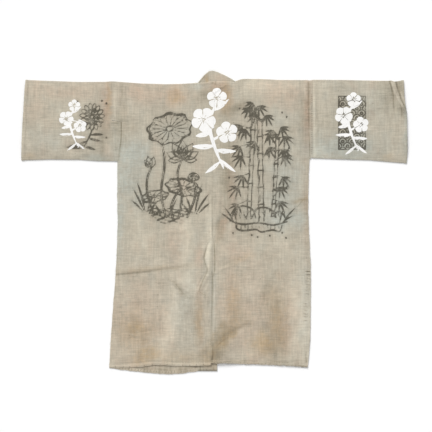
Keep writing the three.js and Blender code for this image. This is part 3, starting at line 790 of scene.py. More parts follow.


# lines of the view as x, y, x, y and so on, and radii from the first point to the last; the dark lines are
# painted shade in creases, beside the pucker, along the collar and the folds and in seams, with dark seam and
# hem marks
SHADE_AND_SEAM_LINES = (
    ((113.6, 274.8, 134, 273, 152, 270.6), (-0.4, -0.8, -1.5)),
    ((152, 270.4, 168, 268.4, 186, 265.6), (-1.5, -1.7, -2.5)),
    ((167, 278, 174, 281.6, 180, 289, 187, 297, 195, 300), (-2.0, -0.4, -0.2, -0.9, -2.2)),
    ((208.4, 241.6, 205.6, 250, 204.2, 257, 205, 263, 207, 268, 206.8, 273),
     (-0.6, 0.6, 1.0, 0.6, 0.7, 0.2)),
    ((206.6, 273, 203, 280, 199.6, 289, 198.8, 291.6), (0.2, 0.9, 0.3, -0.6)),
    ((198.8, 291, 204, 294.4, 207, 296), (0.3, -0.2, -1.6)),
    ((212.3, 156, 212.2, 200, 212.3, 238), (-0.8, -0.1, -0.1)),
    ((214.9, 176, 214.8, 206, 214.6, 236), (-1.6, -0.8, -1.4)),
    ((297, 207, 300, 203.6, 303.2, 199.8), (-0.8, 0.2, -0.6)),
    ((212.6, 340, 212.8, 352, 212.2, 361), (-0.6, 0.6, 0.4)),
    ((213.2, 238, 214.2, 246, 214.8, 258, 214.6, 268, 213.6, 276), (-0.6, 0.8, 0.6, 0.8, 0.4)),
    ((212, 271, 212.6, 282, 212.4, 296, 212, 314), (0.4, 1.3, 1.1, 0.3)),
    ((212, 314, 211.8, 334, 211.4, 362), (0.3, -0.9, -0.3)),
    ((216.6, 346, 222, 341, 233, 334), (-1.4, -0.4, -2.0)),
    ((121.6, 121, 121.4, 138, 118.4, 161), (0.5, 0.6, 0.4)),
    ((122.2, 85, 122, 91, 122.4, 99), (-0.6, 0.2, -2.0)),
    ((125.8, 86, 126, 94, 126.6, 118), (-0.6, -0.3, -2.2)),
    ((123.6, 122, 123.4, 138, 122.6, 152), (-1.6, -0.9, -2.2)),
    ((308.2, 82.4, 308.4, 90, 308.6, 104, 308.8, 121, 308.9, 132), (1.1, 0.5, 1.2, 0.6, -0.4)),
    ((308.9, 132, 309.4, 146, 309.6, 159), (0.2, 1.2, 0.8)), ((302, 84, 302.6, 150), (-1.7, -1.9)),
    ((212, 82.8, 213.6, 82.9), (1.6, 1.3)), ((219, 82.6, 223, 82.4), (-0.8, -0.4)),
    ((215.2, 82.6, 215.5, 84.6), (0.6, 0.4)), ((200, 83.6, 207, 81.6, 216, 81), (-2.4, -1.8, -2.0)),
    ((199.6, 82.4, 203.6, 77.4, 208.6, 71.2), (-0.2, 0.2, -0.6)),
    ((208.6, 71, 215, 71.4, 224, 75, 234, 80.4), (-1.0, -0.4, 0.0, 0.4)),
    ((208.4, 72.4, 208.2, 80.6), (-1.6, -0.8)), ((200.3, 366, 200.2, 371), (0.6, 1.0)),
    ((213.8, 366, 213.5, 370), (-0.2, 0.2)), ((226, 85.6, 220, 89.4, 215.4, 92.6), (-0.4, 0.0, -1.0)),
    ((389.6, 81.4, 391.2, 88, 392.8, 95, 393.5, 105, 394.3, 114), (1.2, 1.3, 0.6, 0.0, -1.6)),
    ((395.6, 82.4, 397.2, 88, 398.9, 93, 400.5, 98.6, 402.4, 103, 405.6, 109.4),
     (2.1, 2.4, 2.2, 1.6, 1.3, 1.5)),
    ((399.4, 103, 401.2, 110, 402, 117), (-0.6, 0.2, -1.4)),
    ((310, 332, 310, 350, 309.6, 358), (-0.4, 0.8, 0.2)), ((305.8, 352, 306, 362), (0.4, 1.4)),
    ((299, 365.8, 307.6, 366.8), (0.2, 1.4)), ((224, 361, 232, 360.8, 240, 361.2), (-0.2, 0.2, -0.4)),
    ((242, 360.6, 250, 360.5, 257, 361), (0.0, 0.3, -0.4)),
    ((271, 361.8, 280, 361.9, 288, 362.4), (-0.2, 0.5, 0.0)),
    ((112.4, 122.7, 116, 123, 120, 123.4), (-0.4, -0.2, -0.8)),
)
# pale lines: painted highlights along ridges, the pucker, seam ridges and the hem edge, with some paler cloth
HIGHLIGHT_AND_PALE_LINES = (
    ((112, 365.8, 130, 364.6, 146, 362.8, 160, 362.6, 190, 363.8, 210, 363), (0.6, 1.2, 0.9, 1.2, 0.8)),
    ((214.4, 283, 214, 308, 213.4, 333), (0.6, 1.2, 0.4)),
    ((111.4, 119.6, 115, 120.4, 120, 121), (0.6, 0.8, 0.2)),
    ((122.6, 121, 122.5, 138, 121, 152), (-0.6, 0.0, -1.6)),
    ((314, 84, 314.4, 120, 315, 156), (1.9, 1.6, 2.0)),
    ((303.6, 83, 304.2, 90, 304.8, 95), (-0.6, 0.2, -1.0)), ((297.6, 203, 300.6, 199.8), (-0.6, -0.2)),
    ((210.4, 176, 210.3, 206, 210.6, 236), (-0.6, 0.8, 1.4)),
    ((210.2, 241, 209, 249, 208.7, 257, 209.6, 266, 210, 272), (-0.4, 5.5, 9.0, 6.0, 1.0)),
    ((209.6, 276, 207.2, 283, 204.6, 289), (0.5, 4.0, 5.0)),
    ((391.6, 83, 393.6, 90, 396.3, 96, 399.4, 102.6, 402.4, 107), (0.6, 0.2, 1.2, 1.0, 0.2)),
    ((400.4, 92, 402.6, 98, 404.6, 103), (-0.6, 0.8, -0.4)),
    ((157.6, 300, 158, 330, 157.8, 360), (-1.6, -0.6, -0.8)),
    ((114.4, 88, 114.8, 104, 114.8, 117), (0.0, 0.8, 0.2)),
    ((24.6, 90, 22.6, 124, 22, 156), (0.3, 0.7, 0.3)),
)
# bars across the seams of the right half: place across, top, end and step in the view, boldness
BARS = (
    (304.8, 84.5, 127, 2.9, -0.3), (305, 271.2, 277, 4.3, 0.6), (305, 279.8, 297, 4.4, -0.4),
    (303, 302.5, 322, 5.2, -0.6),
)


class StainsAndShading:
    """Stains, darker and paler places of the cloth, and painted shade and highlights, in patches and in lines
    along seams, creases, folds and edges.
    """

    tint_patches = tuple(
        StainAndShadePatch(tone, *view(x, y), *shape) for tone, rows in STAIN_AND_SHADE_PATCHES.items() for x, y, *shape in rows
    )

    def __init__(self) -> None:
        """Draw the lines of the tables, the bars, and painted shade along the shoulder and underarm folds and
        along the cuffs.
        """
        self.dark, self.pale = Drawing(), Drawing()
        for drawing, table in ((self.dark, SHADE_AND_SEAM_LINES), (self.pale, HIGHLIGHT_AND_PALE_LINES)):
            for line, radii in table:
                drawing.stroke(tuple(view(x, y) for x, y in zip(line[::2], line[1::2])), radii)
        for x, top, end, step, bold in BARS:
            for y in np.arange(top, end, step):
                bar = (view(x, y), view(x + 3, y + 0.5), view(x + 5.6, y + 0.3))
                self.dark.stroke(bar, (-2.2, bold, bold - 0.8), 3)
        # painted shade: faint dark lines along the folded tops and bottoms of the sleeves and shoulders, and
        # along the cuffs
        for edge, start, end in (
            (LEFT_SHOULDER, -578, -50), (RIGHT_SHOULDER, 72, 598), (LEFT_UNDERARM, -590, -306),
            (RIGHT_UNDERARM, 300, 598),
        ):
            x = start + (end - start) * np.linspace(0, 1, 12)
            self.dark.stroke(tuple(zip(x, edge.at(x))), tuple(-0.9 + 0.4 * np.sin(0.05 * x)))
        y = -np.linspace(6, SLEEVE_DEPTH - 4, 12)
        for edge in (LEFT_CUFF, RIGHT_CUFF):
            self.dark.stroke(tuple(zip(edge.at(y), y)), tuple(-0.4 + 0.3 * np.sin(0.05 * y)))

    def attribute(self, x: Array, y: Array) -> Array:
        """Tints at points, as rose, blue, ochre, and painted shade and darker cloth less painted highlights
        and paler cloth, about one half.

        Args:
            x, y: Places across and along.

        Returns:
            Four columns, from 0 to 1.
        """
        push = tuple(value_noise(x, y, size, seed) for size, seed in ((30, 11), (9, 13), (30, 12), (9, 14)))
        total = {tone: np.zeros(np.shape(x)) for tone in Tone}
        for stain in self.tint_patches:
            total[stain.tone] = np.maximum(total[stain.tone], stain.amount(x, y, push))
        # dark and pale lines: painted shade and painted highlights along creases, folds, seams and edges,
        # with dark seam and stitch marks
        dark = smooth((self.dark.field(x, y, 5.0) + 2.6) / 3.8)
        pale = smooth((self.pale.field(x, y, 5.0) + 3.0) / 4.4)
        shade = 0.5 + 0.36 * total[Tone.SHADE] - 0.26 * total[Tone.PALE] + 0.46 * dark - 0.22 * pale
        return np.stack([total[Tone.ROSE], total[Tone.BLUE], total[Tone.OCHRE], np.clip(shade, 0, 1)], -1)


@dataclass
class Patch:
    """A net of points with the four-sided faces between them, made into a closed wall.

    Its lists hold what each call of add gave, and cloth the place of each point on the flat cloth.
    """

    points: list[Array] = field(default_factory=list)
    quads: list[Array] = field(default_factory=list)
    cloth: list[Array] = field(default_factory=list)
    outer: list[Array] = field(default_factory=list)
    inner: list[Array] = field(default_factory=list)
    seam: list[Array] = field(default_factory=list)
    layer: list[Array] = field(default_factory=list)

    def size(self) -> int:
        """Number of points so far."""
        return sum(len(part) for part in self.points)

    def add(
        self, x: Array, y: Array, z: Number, along: Array,
        outer: Number = 0.0, inner: Number = 0.0,
        seam: Number = 0.0, layer: float = 1.0,
    ) -> Array:
        """Add a net of points, given as arrays of rows by columns.

        Args:
            x, y: Places across and along.
            z: Heights.
            along: Place along the flat cloth.
            outer: Added thickness on the outer side.
            inner: Added thickness on the inner side.
            seam: 1 on a seam, where the wall stays upright, and 0 elsewhere.
            layer: 1 on the upper layer, 0 on the lower.

        Returns:
            The number of each point, in rows and columns.
        """
        start, shape = self.size(), np.shape(x)
        spread = lambda a: np.broadcast_to(np.asarray(a, dtype=float), shape).ravel()
        self.points.append(np.stack([spread(x), spread(y), spread(z)], -1))
        self.cloth.append(np.stack([spread(x), spread(along)], -1))
        stores = self.outer, self.inner, self.seam, self.layer
        for store, values in zip(stores, (outer, inner, seam, layer)):
            store.append(spread(values))
        return start + np.arange(shape[0] * shape[1]).reshape(shape)

    def join(self, numbers: Array, turned: bool) -> None:
        """Put faces between neighbouring rows and columns of a net of point numbers."""
        a, b, c, d = numbers[:-1, :-1], numbers[:-1, 1:], numbers[1:, 1:], numbers[1:, :-1]
        self.quads.append(np.stack([part.ravel() for part in ((d, c, b, a) if turned else (a, b, c, d))], -1))

    def wall(self, name: str, thickness: float, art: Artwork | None, stains_and_shading: StainsAndShading) -> Object:
        """Make the closed wall: both sides half a wall out along the normals, and a rim.

        Args:
            name: Name of the piece.
            thickness: Thickness of the cloth.
            art: Drawings on the upper layer, if there are any.
            stains_and_shading: Stains, and painted shade and highlights.

        Returns:
            The piece, in metres in the model's frame.
        """
        points, quads = np.vstack(self.points), np.vstack(self.quads)
        cloth, layer = np.vstack(self.cloth), np.concatenate(self.layer)
        outer, inner = np.concatenate(self.outer), np.concatenate(self.inner)
        a, b, c, d = (points[quads[:, k]] for k in range(4))
        facing = np.cross(c - a, d - b)
        facing /= np.maximum(np.linalg.norm(facing, axis=1, keepdims=True), 1e-12)
        normals = np.zeros_like(points)
        for k in range(4):
            np.add.at(normals, quads[:, k], facing)
        normals[np.concatenate(self.seam) > 0, 0] = 0.0
        normals /= np.maximum(np.linalg.norm(normals, axis=1, keepdims=True), 1e-12)
        count = len(points)
        upper = points + normals * (thickness / 2 + outer)[:, None]
        lower = points - normals * (thickness / 2 + inner)[:, None]
        sides = np.vstack([quads[:, [k, (k + 1) % 4]] for k in range(4)])
        keys = sides.min(1) * count + sides.max(1)
        _, first, times = np.unique(keys, return_index=True, return_counts=True)
        rim = sides[first[times == 1]]
        sewn = rim[(np.concatenate(self.seam)[rim] > 0).all(1)]
        rims = np.stack([rim[:, 1], rim[:, 0], rim[:, 0] + count, rim[:, 1] + count], -1)
        faces = np.vstack([quads, quads[:, ::-1] + count, rims])
        mesh = bpy.data.meshes.new(name)
        everything = (np.vstack([upper, lower]) - ORIGIN) / 1000.0
        mesh.from_pydata(everything.tolist(), [], faces.tolist())
        mesh.polygons.foreach_set("use_smooth", np.ones(len(faces), dtype=bool))
        ends = np.empty(2 * len(mesh.edges), dtype=np.int32)
        mesh.edges.foreach_get("vertices", ends)
        pair = lambda e: e.min(1).astype(np.int64) * 2 * count + e.max(1)
        crisp = np.isin(pair(ends.reshape(-1, 2)), pair(np.vstack([sewn, sewn + count])))
        mesh.attributes.new("sharp_edge", "BOOLEAN", "EDGE").data.foreach_set("value", crisp)
        corners = np.empty(len(mesh.loops), dtype=np.int32)
        mesh.loops.foreach_get("vertex_index", corners)
        uv = mesh.uv_layers.new(name="cloth")
        uv.data.foreach_set("uv", (np.vstack([cloth, cloth])[corners] / 1000.0).ravel())
        tint = stains_and_shading.attribute(points[:, 0], points[:, 1])
        under = layer < 0.5
        # lower layer: painted shade that waves across the gathers near the hem, and a painted dark line along
        # the fold of the turned hem
        painted_gather_shade = value_noise(points[under, 0], 0 * points[under, 1], 4.6, 21)
        low = smooth((-868.0 - points[under, 1]) / 8.0)
        turned = np.exp(-(((cloth[under, 1] - FRONT_LENGTH + HEM_TURN) / 1.4) ** 2))
        tint[under, :3] = UNDER_TINT
        tint[under, 3] = 0.5 + 0.16 * painted_gather_shade * low + 0.2 * turned
        prints = np.tile([0.0, 0.0, 0.0, 1.0], (count, 1))
        if art is not None:
            shown = layer > 0.5
            prints[shown] = art.attribute(points[shown, 0], points[shown, 1])
        for label, values in (("tint", tint), ("print", prints)):
            store = mesh.attributes.new(label, "FLOAT_COLOR", "POINT")
            store.data.foreach_set("color", np.vstack([values, values]).ravel())
        mesh.update()
        return placed(name, mesh)


def placed(name: str, data: bpy.types.ID) -> Object:
    """Put a new object into the scene.

    Args:
        name: Its name.
        data: Its mesh, camera or lamp.

    Returns:
        The object.
    """
    made = bpy.data.objects.new(name, data)
    bpy.context.scene.collection.objects.link(made)
    return made


def uneven(along: Array, seed: float) -> Array:
    """How far a worn edge strays: two sizes of soft noise along it, under 1.5 mm in all."""
    noise = lambda size, shift: value_noise(along, 0 * along, size, int(seed) + shift)
    return 0.8 * noise(15.0, 0) + 0.6 * noise(6.0, 1)


@dataclass
class BodyLength:
    """One loom width of cloth from the back hem, over the shoulder, to the front hem.

    Attributes:
        node: Solid that it stands for.
        edge: Side edge.
        front_edge: Edge of the front, where the collar band is sewn on.
        centre_gap: Shift of the centre seam to this side.
        front_gap: Shift of the front edge to this side.
        turned: Whether the faces are turned round, on the right.
    """

    name: str
    node: str
    edge: Edge
    front_edge: Edge
    shoulder: Edge
    back_hem: Edge
    front_hem: Edge
    centre_gap: float
    front_gap: float
    turned: bool

    def side(self, y: Array) -> Array:
        """Place of the side edge: the line of the cut, a little uneven below the sleeve."""
        return self.edge.at(y) + 0.6 * uneven(y, 31) * smooth((-262.0 - y) / 20.0)

    def bent(self, x: Array, y: Array, hem: Edge, length: float) -> Array:
        """Level of a row, shifted near the hem and the shoulder to follow their lines.

        Args:
            x: Places across.
            y: Places along the straight cut.
            hem: Line of the hem.
            length: Length of the straight cut.

        Returns:
            The level at each point.
        """
        low = (hem.at(x) + length) * np.clip(1 - (y + length) / HEM_REACH, 0, None)
        low = low + uneven(x, length) * (1 - smooth((y + length) / 14.0))
        high = self.shoulder.at(x) * np.clip(1 + y / SHOULDER_REACH, 0, None)
        return y + low + high

    def back(self, x: Array, y: Array) -> tuple[Array, Array]:
        """Level and height of the back at points of its straight cut.

        Args:
            x: Places across.
            y: Places along the straight cut.

        Returns:
            Level and height of the middle of the wall.
        """
        level = self.bent(x, y, self.back_hem, BACK_LENGTH)
        inset = np.minimum(np.abs(x - self.side(y)), np.minimum(-y, y + BACK_LENGTH))
        height = Relief.upper(x, level, np.clip(inset, 0, None))
        groove = np.abs(x - CENTRE_SEAM.at(y) - self.centre_gap)
        deep = 0.25 + 0.6 * np.exp(-(((y + 600.0) / 120.0) ** 2))
        height = height - deep * (1 - smooth(groove / 3.6))
        tuck = y + BACK_LENGTH
        height = height - 0.25 * np.exp(-(((tuck - HEM_TURN) / 2.0) ** 2))
        neck = smooth((x + 44.0) / 14.0) * smooth((66.0 - x) / 14.0)
        height = height + 0.85 * neck * (1 - smooth(-y / 22.0))
        return level, height + 0.12 * np.sin(x * 0.55 + 2 * np.sin(x * 0.11)) * (1 - smooth(tuck / 22.0))

    def on_back(self, x: Array, y: Array) -> Array:
        """Points on the upper face of the back, at places of its straight cut."""
        level, height = self.back(x, y)
        return np.column_stack([x, level, height + CLOTH / 2 + HEM_EXTRA * (y < -BACK_LENGTH + HEM_TURN - 1)])

    def on_front(self, x: Array, y: Array) -> Array:
        """Points on the face of the front that lies towards the back."""
        level = self.bent(x, y, self.front_hem, FRONT_LENGTH)
        return np.column_stack([x, level, 0 * x + CLOTH + HEM_EXTRA])

    def build(self, art: Artwork, stains_and_shading: StainsAndShading) -> Object:
        """Lay the hairpin of back, shoulder fold and front, and the strip beside the neck.

        Args:
            art: Drawings on the back.
            stains_and_shading: Stains, and painted shade and highlights.

        Returns:
            The piece.
        """
        patch = Patch()
        edges = spaced(-BACK_LENGTH, -BACK_LENGTH + HEM_TURN, 2.5)
        edges = np.insert(edges, 1, edges[0] + RIM)
        rows_back = np.concatenate([edges, spaced(-BACK_LENGTH + HEM_TURN, -6.0, CELL)[1:], [0.0]])
        share = np.insert(spaced(0.0, PANEL_WIDTH, CELL), 1, RIM) / PANEL_WIDTH
        y = rows_back[:, None]
        side, neck = self.side(y), self.front_edge.at(y) + self.front_gap
        x = side + (neck - side) * share
        level, height = self.back(x, y)
        radius = (Relief.upper(x[-1], 0.0 * x[-1], 0.0 * x[-1]) - CLOTH / 2) / 2
        fold_y = self.shoulder.at(x[-1]) - radius - CLOTH / 2
        level[-1] = fold_y
        height[-1] = CLOTH / 2 + 2 * radius
        hem = HEM_EXTRA * (1 - smooth((y + BACK_LENGTH - HEM_TURN + 1.5) / 1.5))
        seam = np.zeros_like(x)
        seam[:, 0] = 1
        back = patch.add(x, level, height, y, outer=hem, seam=seam)
        turn = np.linspace(0, pi, 9)[1:, None]
        seam_row = np.zeros((len(turn), len(share)))
        seam_row[:, [0, -1]] = 1
        fold = patch.add(
            np.broadcast_to(x[-1], seam_row.shape), fold_y + radius * np.sin(turn),
            CLOTH / 2 + radius * (1 + np.cos(turn)), radius * turn, seam=seam_row,
        )
        turn_up = FRONT_LENGTH - HEM_TURN
        rows_front = -np.concatenate([
            spaced(8.0, turn_up, 9.0), spaced(turn_up, FRONT_LENGTH, 2.5)[1:-1],
            [FRONT_LENGTH - RIM, FRONT_LENGTH],
        ])[:, None]
        side, neck = self.side(rows_front), self.front_edge.at(rows_front) + self.front_gap
        fx = side + (neck - side) * share
        seam_front = np.zeros_like(fx)
        seam_front[:, [0, -1]] = 1
        turned_up = HEM_EXTRA * (1 - smooth((rows_front + turn_up + 1.5) / 1.5))
        front = patch.add(
            fx, self.bent(fx, rows_front, self.front_hem, FRONT_LENGTH), CLOTH / 2, -rows_front,
            inner=turned_up, seam=seam_front, layer=0.0,
        )
        patch.join(np.vstack([back, fold, front]), self.turned)
        centre = CENTRE_SEAM.at(y) + self.centre_gap
        neck = self.front_edge.at(y) + self.front_gap
        strip_share = spaced(0.0, STRIP_WIDTH, CELL)[1:] / STRIP_WIDTH
        sx = neck + (centre - neck) * strip_share
        level, height = self.back(sx, y)
        start = fold_y[-1]
        level[-1] = start + (self.shoulder.at(sx[-1]) - 0.15 - start) * smooth(strip_share * 12)
        seam_strip = np.zeros_like(sx)
        seam_strip[:, -1] = 1
        strip = patch.add(sx, level, height, y, outer=hem, seam=seam_strip)
        patch.join(np.hstack([back[:, -1:], strip]), self.turned)
        piece = patch.wall(self.name, CLOTH, art, stains_and_shading)
        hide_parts(self.node)
        return piece


@dataclass
class Sleeve:
    """A sleeve of one width of cloth, a tube folded flat, open at the cuff.

    Attributes:
        node: Solid that it stands for.
        edge: Edge of the body at the armhole.
        shoulder: Line of its upper fold.
        underarm: Line of its lower fold.
        arm_gap: Shift away from the body at the armhole.
        arm_drop: How far its step lies below the body's, at the armhole.
        arm_foot: Level where its armhole ends.
        turned: Whether the faces are turned round, on the right.
    """

    name: str
    node: str
    cuff: Edge
    edge: Edge
    shoulder: Edge
    underarm: Edge
    arm_gap: float
    arm_drop: float
    arm_foot: float
    turned: bool

    def place(self, y: Array, share: Array) -> tuple[Array, Array, Array]:
        """Place and level of points, and how far they lie from the edges of the sleeve.

        Args:
            y: Levels of the straight cut.
            share: Shares of the way from cuff to armhole.

        Returns:
            Place across, level and inset.
        """
        near = np.clip(1 - (y + SLEEVE_DEPTH) / UNDERARM_REACH, 0, None)
        shift = lambda at: (self.underarm.at(at) + SLEEVE_DEPTH) * near
        arm = self.edge.at(np.maximum(y + shift(self.edge.at(y)), self.arm_foot)) + self.arm_gap
        cuff = self.cuff.at(y) + 0.5 * uneven(y, 41) * smooth(np.minimum(-y, y + SLEEVE_DEPTH) / 12.0)
        x = cuff + (arm - cuff) * share
        level = y + self.shoulder.at(x) * np.clip(1 + y / SHOULDER_REACH, 0, None) + shift(x)
        step = (np.abs(y + 124.5) < 3.0) * smooth(1 - np.abs(x - arm) / 40.0)
        inset = np.minimum(np.minimum(-y, y + SLEEVE_DEPTH), np.abs(x - arm))
        return x, level - self.arm_drop * step, np.clip(inset, 0, None)

    def on_cuff(self, y: Array) -> Array:
        """Points on the upper face, just inside the turned edge of the cuff."""
        x, level, inset = self.place(y, 0 * y + HEM_TURN / 295.0)
        return np.column_stack([x, level, Relief.upper(x, level, inset) + CLOTH / 2 + 0.3])

    def build(self, art: Artwork, stains_and_shading: StainsAndShading) -> Object:
        """Lay the rings of the tube: top fold, upper layer, lower fold and lower layer.

        Args:
            art: Drawings on the upper layer.
            stains_and_shading: Stains, and painted shade and highlights.

        Returns:
            The piece.
        """
        patch = Patch()
        steps = [[0, RIM], spaced(0, 10, 2.5)[1:-1], spaced(10, 64, FINE), spaced(64, SLEEVE_WIDTH, CELL)[1:]]
        share = np.concatenate(steps) / SLEEVE_WIDTH
        low = CLOTH / 2
        hem = HEM_EXTRA * (1 - smooth((share * SLEEVE_WIDTH - HEM_TURN + 1.5) / 1.5))
        seam = np.zeros(len(share))
        seam[-1] = 1
        nets = []
        for y, sign in ((0.0, 1.0), (-SLEEVE_DEPTH, -1.0)):
            turn = np.linspace(0, pi, 9)[::-int(sign), None]
            x, level, _ = self.place(np.full_like(turn, y), share)
            radius = (Relief.upper(x, level, 0 * x) - low) / 2
            out = radius * np.sin(turn) - radius - low
            nets.append((x, level + sign * out, low + radius * (1 + np.cos(turn)), y + sign * 5 * turn, 1.0))
        levels = np.array([-122.0, -127.0])
        y = -np.concatenate([spaced(6, 120, FINE), -levels, spaced(130, 238, CELL)])[:, None]
        x, level, inset = self.place(y, share)
        upper = (x, level, Relief.upper(x, level, inset), y, 1.0)
        y = -np.concatenate([spaced(238, 130, 9), -levels[::-1], spaced(120, 8, 9)])[:, None]
        x, level, _ = self.place(y, share)
        lower = (x, level, low + 0 * x, -2 * SLEEVE_DEPTH - y, 0.0)
        numbers = [
            patch.add(x, y, z, along, outer=hem * np.clip((z - low) / CLOTH, 0, 1), seam=seam, layer=layer)
            for x, y, z, along, layer in (nets[0], upper, nets[1], lower)
        ]
        patch.join(np.vstack([*numbers, numbers[0][:1]]), self.turned)
        piece = patch.wall(self.name, CLOTH, art, stains_and_shading)
        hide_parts(self.node)
        return piece


@dataclass
class Collar:
    """The doubled collar band, from one front hem round the neck to the other.

    Attributes:
        left: Sewn end and free end of its section at the left of the neck.
        right: The same at the right.
        left_end: Level of its lower end on the left front.
        right_end: The same on the right front.
    """

    left: tuple[float, float, float, float] = (-44.6, -6.5, -10.4, 29.4)
    right: tuple[float, float, float, float] = (66.4, -2.2, 11.6, 26.8)
    left_end: float = -898.6
    right_end: float = -868.0

    @staticmethod
    def over(x: Array) -> Array:
        """Height of the right band, which eases up on to the left one."""
        return BAND / 2 + BAND_LIFT * smooth((50.0 - x) / 31.0)

    @staticmethod
    def across(x: Array) -> Array:
        """Height of the band behind the neck, over the other layers."""
        return BAND / 2 + 3 + (STACK - 3) * smooth((x + 48) / 26) * smooth((72 - x) / 40)

    def straight(self, levels: Array, edge: Edge, hand: float) -> Array:
        """Sections square across the band, as rows of sewn end and free end."""
        sewn = edge.at(levels)
        return np.column_stack([sewn, levels, sewn + hand * COLLAR_WIDTH, levels])

    def turning(self, bend: tuple[float, ...], end: Array, pull: Point) -> Array:
        """Sections that swing from the bend to the straight: the free end runs on a curve.

        Args:
            bend: Section at the neck.
            end: First straight section.
            pull: Point that bows the path of the free end.

        Returns:
            Rows of sewn end and free end.
        """
        t = np.linspace(0, 1, 26)[1:-1, None]
        bend, pull = np.array(bend), np.array(pull)
        sewn = bend[:2] + (end[:2] - bend[:2]) * t
        free = (1 - t) ** 2 * bend[2:] + 2 * t * (1 - t) * pull + t * t * end[2:]
        return np.hstack([sewn, free])

    @staticmethod
    def span(sections: Array, share: Array, height: Callable[[Array], Array]) -> tuple[Array, Array, Array]:
        """Points across each of the sections, with the height that their places give."""
        x, y = (sections[:, [k]] + (sections[:, [k + 2]] - sections[:, [k]]) * share for k in (0, 1))
        return x, y, height(x)

    def build(self, stains_and_shading: StainsAndShading) -> Object:
        """Carry the section along the band and round both bends.

        Args:
            stains_and_shading: Stains, and painted shade and highlights.

        Returns:
            The piece.
        """
        share = np.concatenate([[0.0, 0.012], np.linspace(0, 1, 17)[1:-1], [0.988, 1.0]])
        left_top = self.straight(np.array([-90.0]), LEFT_FRONT_EDGE, 1)[0]
        right_top = self.straight(np.array([-110.0]), RIGHT_FRONT_EDGE, -1)[0]
        low = lambda x: BAND / 2 + 0 * x
        t = np.linspace(0, 1, 36)[1:-1]
        sewn_x = self.left[0] + (self.right[0] - self.left[0]) * t
        sewn_y = np.where(sewn_x < CENTRE_SEAM.at(0.0), LEFT_SHOULDER.at(sewn_x), RIGHT_SHOULDER.at(sewn_x))
        free_x = self.left[2] + (self.right[2] - self.left[2]) * t
        free_y = self.left[3] + (self.right[3] - self.left[3]) * t + 2.4 * np.sin(pi * t)
        behind = np.column_stack([sewn_x, sewn_y, free_x, free_y])
        rows = spaced(-110.0, self.right_end, 6.0)[1:]
        spans = [
            self.span(self.straight(spaced(self.left_end, -90.0, 6.0), LEFT_FRONT_EDGE, 1), share, low),
            self.span(self.turning(self.left, left_top, (12, 12))[::-1], share, low),
            self.bend(self.left, 1, low, share),
            self.span(behind, share, self.across),
            tuple(part[::-1] for part in self.bend(self.right, -1, self.over, share)),
            self.span(self.turning(self.right, right_top, (1, 8)), share, self.over),
            self.span(self.straight(rows, RIGHT_FRONT_EDGE, -1), share, self.over),
        ]
        x, y, z = (np.vstack([span[k] for span in spans]) for k in range(3))
        patch = Patch()
        seam = np.zeros_like(x)
        seam[len(spans[0][0]) + 24 + 13:-len(spans[-1][0]) - 24 - 13, 0] = 1
        patch.join(patch.add(x, y, z, y, seam=seam), True)
        piece = patch.wall("collar_band", BAND, None, stains_and_shading)
        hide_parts("collar")
        return piece

    def bend(
        self, section: tuple[float, ...], hand: float, low: Callable[[Array], Array], share: Array
    ) -> tuple[Array, Array, Array]:
        """Half a turn about a section, bulging away from the neck.

        Args:
            section: Its sewn end and free end.
            hand: 1 at the left of the neck, -1 at the right.
            low: Height of the band before the turn, at places across.
            share: Shares of the way from sewn to free end.

        Returns:
            Places across, places along and heights.
        """
        run = np.array([section[2] - section[0], section[3] - section[1]])
        out = hand * np.array([-run[1], run[0]]) / np.hypot(*run)
        turn = np.linspace(0, pi, 13)[:, None]
        x = section[0] + run[0] * share[None]
        y = section[1] + run[1] * share[None]
        base = low(x)
        radius = (self.across(x) - base) / 2
        swing = radius * np.sin(turn) * (1 - 0.7 * smooth((share - 0.6) / 0.4))
        return x + out[0] * swing, y + out[1] * swing, base + radius * (1 - np.cos(turn))


def measured(path: Array) -> tuple[float, Callable[[Array], Array]]:
    """Length of a path, and a function that gives its points at distances from its start."""
    gone = np.concatenate([[0.0], np.cumsum(np.linalg.norm(np.diff(path, axis=0), axis=1))])
    return gone[-1], lambda far: np.stack([np.interp(far, gone, path[:, k]) for k in range(3)], -1)


def tubes(name: str, lines: Array, radii: Array, sides: int = 6) -> Object:
    """Closed tubes along many lines at once: rings square to each line, and a cap at both ends.

    Args:
        name: Name of the piece.
        lines: Points of the lines, as lines by points by three.
        radii: Radius at each point of a line.
        sides: Number of sides of a tube.

    Returns:
        The piece, in metres in the model's frame.
    """
    count, rings = lines.shape[:2]
    run = np.gradient(lines, axis=1)
    run /= np.maximum(np.linalg.norm(run, axis=2, keepdims=True), 1e-9)
    side = np.cross(np.array([0.0, 0.0, 1.0]), run)
    side /= np.maximum(np.linalg.norm(side, axis=2, keepdims=True), 1e-9)
    rise = np.cross(run, side)
    a = 2 * pi * np.arange(sides) / sides
    out = side[:, :, None] * np.cos(a)[:, None] + rise[:, :, None] * np.sin(a)[:, None]
    points = lines[:, :, None] + out * np.asarray(radii)[None, :, None, None]
    number = np.arange(count * rings * sides).reshape(count, rings, sides)
    turned = np.roll(number, -1, axis=2)
    walls = np.stack([number[:, :-1], turned[:, :-1], turned[:, 1:], number[:, 1:]], -1).reshape(-1, 4)
    caps = np.vstack([number[:, 0, ::-1], number[:, -1]])
    mesh = bpy.data.meshes.new(name)
    mesh.from_pydata(((points.reshape(-1, 3) - ORIGIN) / 1000.0).tolist(), [], walls.tolist() + caps.tolist())
    mesh.polygons.foreach_set("use_smooth", np.ones(len(mesh.polygons), dtype=bool))
    mesh.update()
    return placed(name, mesh)


